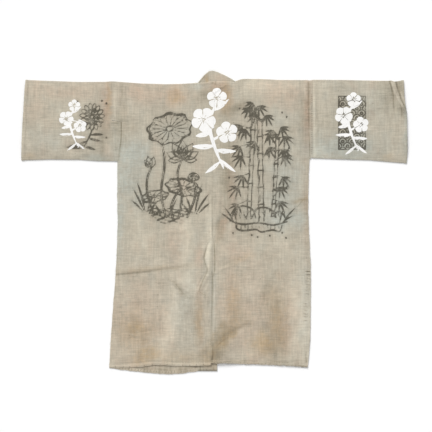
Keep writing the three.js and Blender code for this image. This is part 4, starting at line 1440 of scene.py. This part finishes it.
@dataclass
class Stitching:
    """Hand stitches: short arched lengths of thread, kept as spans of a start and an end.

    Attributes:
        length: Length of a running stitch.
        gap: Space between two running stitches.
    """

    name: str
    length: float = 4.6
    gap: float = 3.2
    radius: float = 0.42
    spans: list[Array] = field(default_factory=list)

    def spread(self, path: Array, step: float, reach: Array) -> None:
        """Lay stitches at even steps along a path, each from its place to a reach away.

        Args:
            path: Points of the path.
            step: Distance between the starts of two stitches.
            reach: For a running stitch, (length, 0), and for a whip stitch, how far it goes along
                the path and across it.
        """
        length, at = measured(path)
        stray = np.random.default_rng(17 + len(self.spans))
        begin = (np.arange(int(length // step)) + 0.3) * step
        begin = begin + stray.uniform(-0.12, 0.12, begin.shape) * step
        first, last = at(begin), at(begin + reach[0] * stray.uniform(0.8, 1.15, begin.shape))
        run = at(begin + 0.5) - at(begin)
        aside = np.stack([-run[:, 1], run[:, 0], 0 * begin], -1)
        aside /= np.maximum(np.linalg.norm(aside, axis=1, keepdims=True), 1e-9)
        across = reach[1] * stray.uniform(0.8, 1.15, begin.shape)
        self.spans.append(np.stack([first, last + aside * across[:, None]], 1))

    def running(self, path: Array) -> None:
        """Lay a running stitch along a path."""
        self.spread(path, self.length + self.gap, np.array([self.length, 0.0]))

    def whip(self, path: Array, step: float, along: float, across: float) -> None:
        """Lay slanting whip stitches that go over an edge."""
        self.spread(path, step, np.array([along, across]))

    def build(self) -> Object:
        """Make the stitches: each rises from the cloth in an arch and dips back in.

        Returns:
            The piece.
        """
        spans = np.vstack(self.spans)
        t = np.linspace(0.0, 1.0, 6)
        lines = spans[:, None, 0] + (spans[:, 1] - spans[:, 0])[:, None] * t[:, None]
        lines[:, :, 2] += self.radius * (5.2 * t * (1 - t) - 0.55)
        return tubes(self.name, lines, self.radius * np.array([0.5, 0.9, 1.0, 1.0, 0.9, 0.5]))


@dataclass
class Fray:
    """Loose ends of thread along worn edges, kept as lines of points."""

    name: str
    radius: float = 0.2
    lines: list[Array] = field(default_factory=list)

    def along(self, path: Array, out: Point, count: int, reach: float) -> None:
        """Lay threads that start on an edge and curl outwards and down to the table.

        Args:
            path: Points of the edge.
            out: Direction away from the cloth.
            count: How many threads there are.
            reach: Length of the longest.
        """
        stray = np.random.default_rng(71 + len(self.lines))
        length, at = measured(path)
        start = at(length * np.sort(stray.uniform(0.01, 0.99, count)))
        turn = np.arctan2(out[1], out[0]) + stray.normal(0.0, 0.55, count)
        curl = stray.normal(0.0, 0.9, count)
        length = reach * stray.uniform(0.25, 1.0, count) ** 1.6
        t = np.linspace(0.0, 1.0, 5)
        bearing = turn[:, None] + curl[:, None] * t
        step = np.stack([np.cos(bearing), np.sin(bearing)], -1) * (length[:, None, None] / 4)
        flat = np.cumsum(step, axis=1) - step[:, :1] * 1.6
        height = start[:, 2:3] + (np.maximum(0.3, start[:, 2:3] - 2.5) - start[:, 2:3]) * t**1.5
        self.lines.append(np.concatenate([start[:, None, :2] + flat, height[:, :, None]], -1))

    def build(self) -> Object:
        """Make the piece, its threads thinner towards their ends."""
        radii = self.radius * np.array([1.0, 1.0, 0.85, 0.65, 0.35])
        return tubes(self.name, np.vstack(self.lines), radii, 5)


@dataclass(frozen=True)
class Value:
    """One output of a node; a sum or product of values adds a Math node to the same tree."""

    shader: Shader
    socket: bpy.types.NodeSocket

    def __add__(self, other: Value | float) -> Value:
        """The sum of two values."""
        return self.shader.math("ADD", self, other)

    def __sub__(self, other: Value | float) -> Value:
        """This value less another."""
        return self.shader.math("SUBTRACT", self, other)

    def __rsub__(self, other: float) -> Value:
        """A number less this value."""
        return self.shader.math("SUBTRACT", other, self)

    def __mul__(self, other: Value | float) -> Value:
        """The product of two values."""
        return self.shader.math("MULTIPLY", self, other)

    def __truediv__(self, other: Value | float) -> Value:
        """This value divided by another."""
        return self.shader.math("DIVIDE", self, other)

    def __abs__(self) -> Value:
        """This value without its sign."""
        return self.shader.math("ABSOLUTE", self)


class Shader:
    """Short calls for making nodes in a tree."""

    def __init__(self, tree: NodeTree) -> None:
        """Keep the tree that the nodes go into."""
        self.tree = tree

    def node(self, kind: str, ins: dict | None = None, **settings: object) -> bpy.types.Node:
        """Add a node, set its properties, and set or link its inputs.

        Args:
            kind: Blender's name of the node type, without its first word.
            ins: Values or numbers of its inputs, by name or number.
            **settings: Its properties.

        Returns:
            The node.
        """
        made = self.tree.nodes.new("ShaderNode" + kind)
        for key, setting in settings.items():
            setattr(made, key, setting)
        for key, value in (ins or {}).items():
            if isinstance(value, Value):
                self.tree.links.new(value.socket, made.inputs[key])
            else:
                made.inputs[key].default_value = value
        return made

    def value(self, kind: str, out: int | str, ins: dict | None = None, **settings: object) -> Value:
        """One output of a new node."""
        return Value(self, self.node(kind, ins, **settings).outputs[out])

    def parts(self, kind: str, whole: Value) -> list[Value]:
        """The three parts of a colour or a place."""
        return [Value(self, part) for part in self.node(kind, {0: whole}).outputs[:3]]

    def attribute(self, name: str) -> tuple[list[Value], Value]:
        """The first three numbers of an attribute of the mesh, and its fourth."""
        colour, fourth = (self.value("Attribute", out, attribute_name=name) for out in ("Color", "Alpha"))
        return self.parts("SeparateColor", colour), fourth

    def group(self, tree: NodeTree, **ins: object) -> dict[str, Value]:
        """The outputs of a node group, by name."""
        return {out.name: Value(self, out) for out in self.node("Group", ins, node_tree=tree).outputs}

    def math(self, operation: str, a: Value | float, b: Value | float = 0.0, clamp: bool = False) -> Value:
        """Result of a sum on numbers or values."""
        return self.value("Math", 0, {0: a, 1: b}, operation=operation, use_clamp=clamp)

    def mix(self, amount: Value, a: Value | Colour, b: Value | Colour, blend: str = "MIX") -> Value:
        """A blend of two colours."""
        a, b = ((*colour, 1.0) if isinstance(colour, tuple) else colour for colour in (a, b))
        return self.value("Mix", 2, {0: amount, 6: a, 7: b}, data_type="RGBA", blend_type=blend)

    def noise(self, place: Value, scale: float, detail: float = 2.0, rough: float = 0.55) -> Value:
        """Soft noise about one half."""
        ins = {"Vector": place, "Scale": scale, "Detail": detail, "Roughness": rough}
        return self.value("TexNoise", "Fac", ins)

    def stretch(self, place: Value, x: float, y: float, z: float = 1.0) -> Value:
        """A place with each direction scaled."""
        return self.value("VectorMath", 0, {0: place, 1: (x, y, z)}, operation="MULTIPLY")

    def ramp(self, value: Value, low: Value | float, high: Value | float) -> Value:
        """A value eased from 0 at low to 1 at high."""
        ins = {0: value, 1: low, 2: high, 3: 0.0, 4: 1.0}
        return self.value("MapRange", 0, ins, interpolation_type="SMOOTHSTEP")

    def give(self, **results: Value) -> NodeTree:
        """Put values out of a node group.

        Args:
            **results: The values, under the names of the group's outputs.

        Returns:
            The group.
        """
        for label in results:
            self.tree.interface.new_socket(label, in_out="OUTPUT", socket_type="NodeSocketFloat")
        end = self.tree.nodes.new("NodeGroupOutput")
        for label, value in results.items():
            self.tree.links.new(value.socket, end.inputs[label])
        return self.tree

    def surface(self, ins: dict[str, Value | float]) -> None:
        """Close a material with the Principled BSDF."""
        body = self.node("BsdfPrincipled", ins)
        self.tree.links.new(body.outputs[0], self.node("OutputMaterial").inputs[0])


def new_group(name: str, **inputs: float | None) -> tuple[Shader, dict[str, Value]]:
    """Begin a node group.

    Args:
        name: Name of the group.
        **inputs: Starting value of each number that it takes, or None for a place.

    Returns:
        The shader that makes its nodes, and the values of its inputs by name.
    """
    tree = bpy.data.node_groups.new(name, "ShaderNodeTree")
    for label, start in inputs.items():
        kind = "NodeSocketVector" if start is None else "NodeSocketFloat"
        socket = tree.interface.new_socket(label, in_out="INPUT", socket_type=kind)
        if start is not None:
            socket.default_value = start
    s, begin = Shader(tree), tree.nodes.new("NodeGroupInput")
    return s, {label: Value(s, begin.outputs[label]) for label in inputs}


def new_material(name: str) -> tuple[Material, Shader]:
    """Begin a material.

    Args:
        name: Name of the material.

    Returns:
        The material, and the shader that makes its nodes.
    """
    material = bpy.data.materials.new(name)
    material.use_nodes = True
    material.node_tree.nodes.clear()
    return material, Shader(material.node_tree)


class Effects:
    """Node groups that the cloth finishes share."""

    def __init__(self) -> None:
        """Make each group once."""
        self.weave, self.brush = self.make_weave(), self.make_brush()
        self.wear, self.waves = self.make_wear(), self.make_waves()

    @staticmethod
    def make_weave() -> NodeTree:
        """Plain weave: threads as half-round waves that pass over each other, with slubs.

        Returns:
            The group, which puts out the height of the threads and a tone.
        """
        s, given = new_group("plain_weave", Cloth=None, Pitch=0.0013, Slubs=1.0)
        cloth, pitch = given["Cloth"], given["Pitch"]
        x, y, _ = s.parts("SeparateXYZ", cloth)
        wander = s.noise(cloth, 90.0) * 0.0016 - 0.0008
        across, along = (x + wander) / pitch, (y + wander) / pitch
        warp, weft = (abs(s.math("SINE", turns * pi)) for turns in (across, along))
        over = abs(s.math("MODULO", s.math("FLOOR", across) + s.math("FLOOR", along), 2.0))
        threads = warp * over + weft * (1.0 - over)
        level = s.noise(s.stretch(cloth, 22.0, 230.0), 1.0, 4.0, 0.62)
        thin = s.noise(s.stretch(cloth, 75.0, 760.0), 1.0)
        upright = s.noise(s.stretch(cloth, 210.0, 17.0), 1.0, 3.0, 0.6)
        slubs = ((level - 0.5) * 0.6 + (upright - 0.5) * 0.5 + (thin - 0.5) * 0.3) * given["Slubs"]
        return s.give(Height=threads * 0.6 + slubs * 1.2, Tone=threads * 0.2 - 0.12 + slubs)

    @staticmethod
    def make_brush() -> NodeTree:
        """Print: the drawing's field against one half, roughened, and broken where dry.

        Returns:
            The group, which puts out the mask of what is printed.
        """
        s, given = new_group("brush_print", Field=0.0, Place=None, Dry=0.3, Edge=0.03)
        place, edge = given["Place"], given["Edge"]
        fine, broad = s.noise(place, 260.0, 3.0, 0.7) - 0.5, s.noise(place, 38.0) - 0.5
        mask = s.ramp(given["Field"] + fine * 0.11 + broad * 0.06, 0.5 - edge, edge + 0.5)
        grain = s.noise(s.stretch(place, 240.0, 300.0, 240.0), 1.0, 3.0, 0.7)
        missed = given["Dry"] * (1.0 - s.ramp(broad * 0.9 + grain, 0.28, 0.52))
        return s.give(Mask=s.math("MULTIPLY", mask, 1.0 - missed, clamp=True))

    @staticmethod
    def make_wear() -> NodeTree:
        """Blotches of age in three sizes, a drift of hue, and small dark specks.

        Returns:
            The group, which puts out a tone, its finest part, two hues and the specks.
        """
        s, given = new_group("cloth_wear", Place=None)
        place = given["Place"]
        fine, middle = s.noise(place, 95.0, 4.0, 0.68), s.noise(place, 30.0, 3.0, 0.6)
        broad = s.noise(s.stretch(place, 10.0, 6.0), 1.0, 3.0, 0.6)
        tone = (fine - 0.5) * 0.34 + (middle - 0.5) * 0.3 + (broad - 0.5) * 0.26
        hue = s.noise(s.stretch(place, 24.0, 15.0, 24.0), 1.0, 4.0, 0.66)
        away = s.value("TexVoronoi", "Distance", {"Vector": place, "Scale": 30.0, "Randomness": 1.0})
        specks = s.math("LESS_THAN", away, s.noise(place, 14.0, 1.0) * 0.09 - 0.012)
        warm, cool = s.ramp(hue, 0.5, 0.72), s.ramp(hue, 0.5, 0.3)
        return s.give(Tone=tone, Fine=fine, Warm=warm, Cool=cool, Specks=specks)

    @staticmethod
    def make_waves() -> NodeTree:
        """Wave scales: rows of overlapping discs ringed twice, inside an upright block.

        A point's place in its row's tile is (u, v), with u from -1 to 1 and v from 0 to 1. Inside
        the disc about (0, 0) its distance from there counts, and outside that it is the distance
        from the disc of the row above, about (1, 1) or (-1, 1). The rings follow that distance.

        Returns:
            The group, which puts out a field for the brush.
        """
        s, given = new_group("wave_scales", Place=None, Middle=None, Half=None, Disc=0.0145)
        disc = given["Disc"]
        aside = s.value("VectorMath", 0, {0: given["Place"], 1: given["Middle"]}, operation="SUBTRACT")
        x, y, _ = s.parts("SeparateXYZ", aside)
        wide, high, _ = s.parts("SeparateXYZ", given["Half"])
        row = y / disc
        floor = s.math("FLOOR", row)
        v = row - floor
        column = x / disc + s.math("FLOORED_MODULO", floor, 2.0)
        u = s.math("FLOORED_MODULO", column + 1.0, 2.0) - 1.0
        length = lambda a, b: s.math("SQRT", a * a + b * b)
        near, back = length(u, v), length(1.0 - abs(u), 1.0 - v)
        outside = s.math("GREATER_THAN", near, 1.0)
        reach = back * outside + near * (1.0 - outside)
        line = 0.33 - abs(s.math("FRACT", reach * 1.9) - 0.5)
        edge = s.math("MINIMUM", wide - abs(x), high - abs(y))
        border = 0.0018 - abs(edge - 0.0018)
        inside = s.math("MINIMUM", edge * 62.0, line * 0.28)
        return s.give(Field=s.math("MAXIMUM", inside, border * 62.0) + 0.5)


@dataclass(frozen=True)
class ClothFinish:
    """Coarse undyed cloth that has browned with age, in places to rose, blue grey and ochre.

    Attributes:
        ground: Colour of clean cloth.
        ink: Colour of the dark drawings.
        slubs: How strongly uneven threads show.
        block_middle: Middle of the printed block of waves, in metres.
        block_half: Half the width and height of that block, in metres.
        block_floor: Height above which the block is printed, in metres.
    """

    name: str
    ground: Colour
    rose: Colour = (0.515, 0.398, 0.3)
    blue: Colour = (0.44, 0.445, 0.385)
    ochre: Colour = (0.455, 0.345, 0.215)
    ink: Colour = (0.058, 0.052, 0.036)
    white: Colour = (0.93, 0.92, 0.9)
    slubs: float = 0.95
    block_middle: Colour = (0.4262, 0.3082, 0.0)
    block_half: Colour = (0.0435, 0.084, 1.0)
    block_floor: float = 0.0017

    def build(self, effects: Effects) -> Material:
        """Make the material: ground, stained hues, painted shade and highlights, drawings, and the weave as a
        bump.

        Args:
            effects: The shared node groups.

        Returns:
            The material.
        """
        material, s = new_material(self.name)
        material.diffuse_color = (*self.ground, 1.0)
        place = s.value("TexCoord", "Object")
        (rose, blue, ochre), depth = s.attribute("tint")
        (ink, white, wash), _ = s.attribute("print")
        weave = s.group(effects.weave, Cloth=s.value("UVMap", 0, uv_map="cloth"), Slubs=self.slubs)
        wear = s.group(effects.wear, Place=place)
        shown = s.mix(wear["Warm"] * 0.3, self.ground, self.rose)
        shown = s.mix(wear["Cool"] * 0.25, shown, self.blue)
        patchy = (wear["Fine"] - 0.5) * 2.2 + 1.0
        for amount, colour in ((rose, self.rose), (blue, self.blue), (ochre, self.ochre)):
            shown = s.mix(s.math("MULTIPLY", amount, patchy, clamp=True), shown, colour)
        # depth is the tint's fourth channel: painted shade and darker cloth above one half, painted
        # highlights and paler cloth below
        bright = weave["Tone"] + wear["Tone"] + (0.5 - depth) * 0.9 + 1.0
        bright = bright * (1.0 - wear["Specks"] * 0.4)
        shown = s.value("VectorMath", 0, {0: shown, "Scale": bright}, operation="SCALE")
        # painted shade also turns browner as it deepens
        shown = s.mix(s.math("MULTIPLY", depth - 0.5, 1.7, clamp=True), shown, (1.0, 0.97, 0.88), "MULTIPLY")
        shown = s.mix(wash * 0.24 * s.ramp(wear["Fine"], 0.4, 0.62), shown, self.ink)
        waves = s.group(effects.waves, Place=place, Middle=self.block_middle, Half=self.block_half)
        upper = s.math("GREATER_THAN", s.parts("SeparateXYZ", place)[2], self.block_floor)
        for drawing, dry, edge, cover, paint in (
            (ink, 0.5, 0.045, 0.86, self.ink), (waves["Field"], 0.5, 0.03, upper * 0.88, self.ink),
            (white, 0.04, 0.02, 0.97, self.white),
        ):
            printed = s.group(effects.brush, Field=drawing, Place=place, Dry=dry, Edge=edge)
            shown = s.mix(printed["Mask"] * cover, shown, paint)
        bump = s.value("Bump", 0, {"Height": weave["Height"], "Strength": 0.35, "Distance": 0.0004})
        s.surface({
            "Base Color": shown, "Roughness": 0.92, "Normal": bump, "Specular IOR Level": 0.2,
            "Sheen Weight": 0.08, "Sheen Roughness": 0.6,
        })
        return material


@dataclass(frozen=True)
class ThreadFinish:
    """Twisted sewing thread, with its turns of twist in a metre."""

    name: str
    colour: Colour
    twist: float = 900.0

    def build(self) -> Material:
        """Make the material: its colour varies from stitch to stitch, and its twist is a bump.

        Returns:
            The material.
        """
        material, s = new_material(self.name)
        place = s.value("TexCoord", "Object")
        deep, pale = (tuple(min(1.0, part * k) for part in self.colour) for k in (0.62, 1.3))
        shown = s.mix(s.ramp(s.noise(place, 160.0, 3.0, 0.6), 0.3, 0.7), deep, pale)
        x, y, z = s.parts("SeparateXYZ", place)
        ply = s.math("SINE", (x + (y + z)) * (self.twist * 2 * pi))
        bump = s.value("Bump", 0, {"Height": ply, "Strength": 0.3, "Distance": 0.0001})
        s.surface({"Base Color": shown, "Roughness": 0.8, "Normal": bump})
        return material


@dataclass
class Studio:
    """Camera straight above the jacket, a pale floor and soft light from beyond the collar.

    Attributes:
        span: Width of the view at the floor, in metres.
        lens: Focal length on a sensor 36 mm wide.
        centre: Middle of the view, in metres.
        floor: Half the width of the floor, in metres.
    """

    span: float = 432 * 0.0031
    lens: float = 85.0
    centre: Point = (0.00496, 0.01974)
    floor: float = 30.0

    def build(self) -> None:
        """Make the camera, the floor, the lamps and the world."""
        camera = placed("camera", bpy.data.cameras.new("camera"))
        camera.data.lens, camera.data.sensor_width = self.lens, 36.0
        camera.data.clip_end = 50.0
        camera.location = (*self.centre, self.span * self.lens / 36.0)
        bpy.context.scene.camera = camera
        mesh = bpy.data.meshes.new("floor")
        corners = ((-1, -1), (1, -1), (1, 1), (-1, 1))
        mesh.from_pydata([(x * self.floor, y * self.floor, -0.0003) for x, y in corners], [], [(0, 1, 2, 3)])
        material = bpy.data.materials.new("pale_floor")
        material.use_nodes = True
        shader = material.node_tree.nodes["Principled BSDF"]
        shader.inputs["Base Color"].default_value = (0.96, 0.96, 0.96, 1.0)
        shader.inputs["Roughness"].default_value = 0.9
        mesh.materials.append(material)
        placed("floor", mesh)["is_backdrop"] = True
        self.lamp("key", (-1.1, 2.3, 1.6), 28.0, 2.85)
        self.lamp("fill", (1.6, -1.0, 3.2), 40.0, 0.4)
        world = bpy.data.worlds.new("studio")
        world.use_nodes = True
        world.node_tree.nodes["Background"].inputs[0].default_value = (1.0, 1.0, 1.0, 1.0)
        world.node_tree.nodes["Background"].inputs[1].default_value = 0.46
        bpy.context.scene.world = world
        bpy.context.scene.view_settings.view_transform = "Standard"

    def lamp(self, name: str, place: Place, spread: float, strength: float) -> None:
        """A far, broad lamp whose soft light falls evenly from one side.

        Args:
            name: Its name.
            place: Which side it stands on, as a point that it shines from to the middle.
            spread: How wide it looks from the jacket, in degrees.
            strength: Its strength in watts a square metre.
        """
        data = bpy.data.lights.new(name, "SUN")
        data.angle, data.energy = radians(spread), strength
        lamp = placed(name, data)
        lamp.location = place
        lamp.rotation_euler = (-Vector(place)).to_track_quat("-Z", "Y").to_euler()


@dataclass
class Jacket:
    """The whole garment: five pieces of cloth, the stitches that hold them and the frayed edges."""

    left: BodyLength
    right: BodyLength
    left_sleeve: Sleeve
    right_sleeve: Sleeve
    collar: Collar

    def build(self) -> None:
        """Build and dress every piece."""
        art, stains_and_shading, effects = Artwork(), StainsAndShading(), Effects()
        cloth = ClothFinish("aged_cloth", (0.482, 0.436, 0.345)).build(effects)
        band = ClothFinish("collar_cloth", (0.47, 0.43, 0.343)).build(effects)
        pale = ThreadFinish("pale_thread", (0.56, 0.5, 0.4)).build()
        brown = ThreadFinish("brown_thread", (0.24, 0.2, 0.145)).build()
        for maker, flat, area in (
            (self.left, (0.318, 1.78), 0.497), (self.right, (0.312, 1.766), 0.4965),
            (self.left_sleeve, (0.295, 0.49), None), (self.right_sleeve, (0.293, 0.49), None),
        ):
            piece = maker.build(art, stains_and_shading)
            self.dress(piece, cloth)
        piece = self.collar.build(stains_and_shading)
        self.dress(piece, band)
        self.dress(self.hem_stitches().build(), pale)
        self.dress(self.edge_stitches().build(), brown)
        self.dress(self.loose_ends().build(), pale)

    def dress(self, piece: Object, material: Material) -> None:
        """Give a piece its material and slot, and let it ride on the body.

        Args:
            piece: The piece.
            material: Its material.
        """
        piece.data.materials.append(material)
        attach(piece, "root")
        log.info("%s: %d faces", piece.name, len(piece.data.polygons))

    def hem_stitches(self) -> Stitching:
        """Running stitches along the back hems and cuffs, and bars up the right side.

        Returns:
            The stitches.
        """
        sewn = Stitching("running_stitches")
        for body in (self.left, self.right):
            y = np.array([-BACK_LENGTH + HEM_TURN - 0.4])
            ends = (float(body.side(y)[0]), float(CENTRE_SEAM.at(y)[0]))
            x = np.linspace(min(ends) + 2, max(ends) - 2, 160)
            sewn.running(body.on_back(x, 0 * x + y))
        for sleeve in (self.left_sleeve, self.right_sleeve):
            sewn.running(sleeve.on_cuff(-np.linspace(8, SLEEVE_DEPTH - 8, 120)))
        self.ladder(sewn, (607, 670, 19, 9.4), (686, 750, 25, 10.2))
        return sewn

    def edge_stitches(self) -> Stitching:
        """Whip stitches in brown thread along the hems, the right armhole and the right side.

        Returns:
            The stitches.
        """
        sewn = Stitching("whip_stitches", radius=0.52)
        x = np.linspace(-312, -54, 160)
        sewn.whip(self.left.on_front(x, 0 * x - FRONT_LENGTH + 1.5), 9.6, 1.4, 8.0)
        x = np.linspace(-44, 9, 40)
        low = np.column_stack([x, 0 * x + self.collar.left_end + 1.5, 0 * x + BAND + 0.1])
        sewn.whip(low, 10.5, 1.2, 6.0)
        x = np.linspace(-310, -12, 160)
        sewn.whip(self.left.on_back(x, 0 * x - BACK_LENGTH + 1.0), 23.0, 2.0, 4.5)
        x = np.linspace(0, 288, 160)
        sewn.whip(self.right.on_back(x, 0 * x - BACK_LENGTH + 1.0), 11.5, 1.8, 4.5)
        y = -np.linspace(40, 232, 90)
        sewn.whip(self.right.on_back(self.right.side(y) - 4.5, y), 6.6, 0.6, 4.2)
        self.ladder(sewn, (587, 606, 19, 9.4), sunk=0.3)
        return sewn

    def ladder(self, sewn: Stitching, *rows: tuple[float, float, float, float], sunk: float = 0.0) -> None:
        """Lay bars of thread across the side seam of the right half.

        Args:
            sewn: The stitches that they join.
            rows: Top and end of each row, how far it stands in from the edge, and its step.
            sunk: How deep the thread is pulled into the cloth.
        """
        for top, end, inset, step in rows:
            y = -np.linspace(top, end, 60)
            path = self.right.on_back(self.right.side(y) - inset, y) - np.array([0, 0, sunk])
            sewn.whip(path, step, 0.2, 17.0)

    def loose_ends(self) -> Fray:
        """Frayed threads along the hems, the side edges and the cuffs.

        Returns:
            The threads.
        """
        fray = Fray("frayed_threads")
        x = np.linspace(-4, 292, 90)
        fray.along(self.right.on_back(x, 0 * x - BACK_LENGTH) - np.array([0, 0, 0.8]), (0.1, -1.0), 170, 7.0)
        x = np.linspace(-318, -8, 90)
        fray.along(self.left.on_back(x, 0 * x - BACK_LENGTH) - np.array([0, 0, 0.8]), (0.0, -1.0), 90, 4.5)
        x = np.linspace(-300, 8, 90)
        front = self.left.on_front(np.minimum(x, -50), 0 * x - FRONT_LENGTH)
        fray.along(front - np.array([0, 0, 1.0]), (0.0, -1.0), 60, 4.0)
        for body, out, count in ((self.left, -1.0, 60), (self.right, 1.0, 110)):
            y = -np.linspace(262, 876, 120)
            fray.along(body.on_back(body.side(y), y) - np.array([0, 0, 0.7]), (out, -0.2), count, 4.5)
        for sleeve, out in ((self.left_sleeve, -1.0), (self.right_sleeve, 1.0)):
            y = -np.linspace(8, SLEEVE_DEPTH - 8, 60)
            x, level, inset = sleeve.place(y, 0 * y)
            fray.along(np.column_stack([x, level, Relief.upper(x, level, inset)]), (out, 0.0), 40, 3.5)
        return fray


def main() -> None:
    """Build the jacket piece by piece, then the studio."""
    logging.basicConfig(level=logging.INFO, format="%(message)s")
    Jacket(
        left=BodyLength(
            "back_and_front_left", "body_length_left", LEFT_EDGE, LEFT_FRONT_EDGE, LEFT_SHOULDER,
            LEFT_BACK_HEM, LEFT_FRONT_HEM, centre_gap=-0.1, front_gap=-1.2 * SEAM_GAP, turned=False,
        ),
        right=BodyLength(
            "back_and_front_right", "body_length_right", RIGHT_EDGE, RIGHT_FRONT_EDGE, RIGHT_SHOULDER,
            RIGHT_BACK_HEM, RIGHT_FRONT_HEM, centre_gap=0.1, front_gap=2 * SEAM_GAP, turned=True,
        ),
        left_sleeve=Sleeve(
            "cloth_sleeve_left", "sleeve_left", LEFT_CUFF, LEFT_EDGE, LEFT_SHOULDER, LEFT_UNDERARM,
            arm_gap=-0.15, arm_drop=0.8, arm_foot=-SLEEVE_DEPTH, turned=True,
        ),
        right_sleeve=Sleeve(
            "cloth_sleeve_right", "sleeve_right", RIGHT_CUFF, RIGHT_EDGE, RIGHT_SHOULDER, RIGHT_UNDERARM,
            arm_gap=0.15, arm_drop=0.0, arm_foot=-236.0, turned=False,
        ),
        collar=Collar(),
    ).build()
    Studio().build()
    log.info("studio: camera, floor and lamps")


if __name__ == "__main__":
    main()
    plain = lambda box: [[float(v) for v in corner] for corner in box]
    {"cad": plain(CAD_BOX), "visual": plain(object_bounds())}
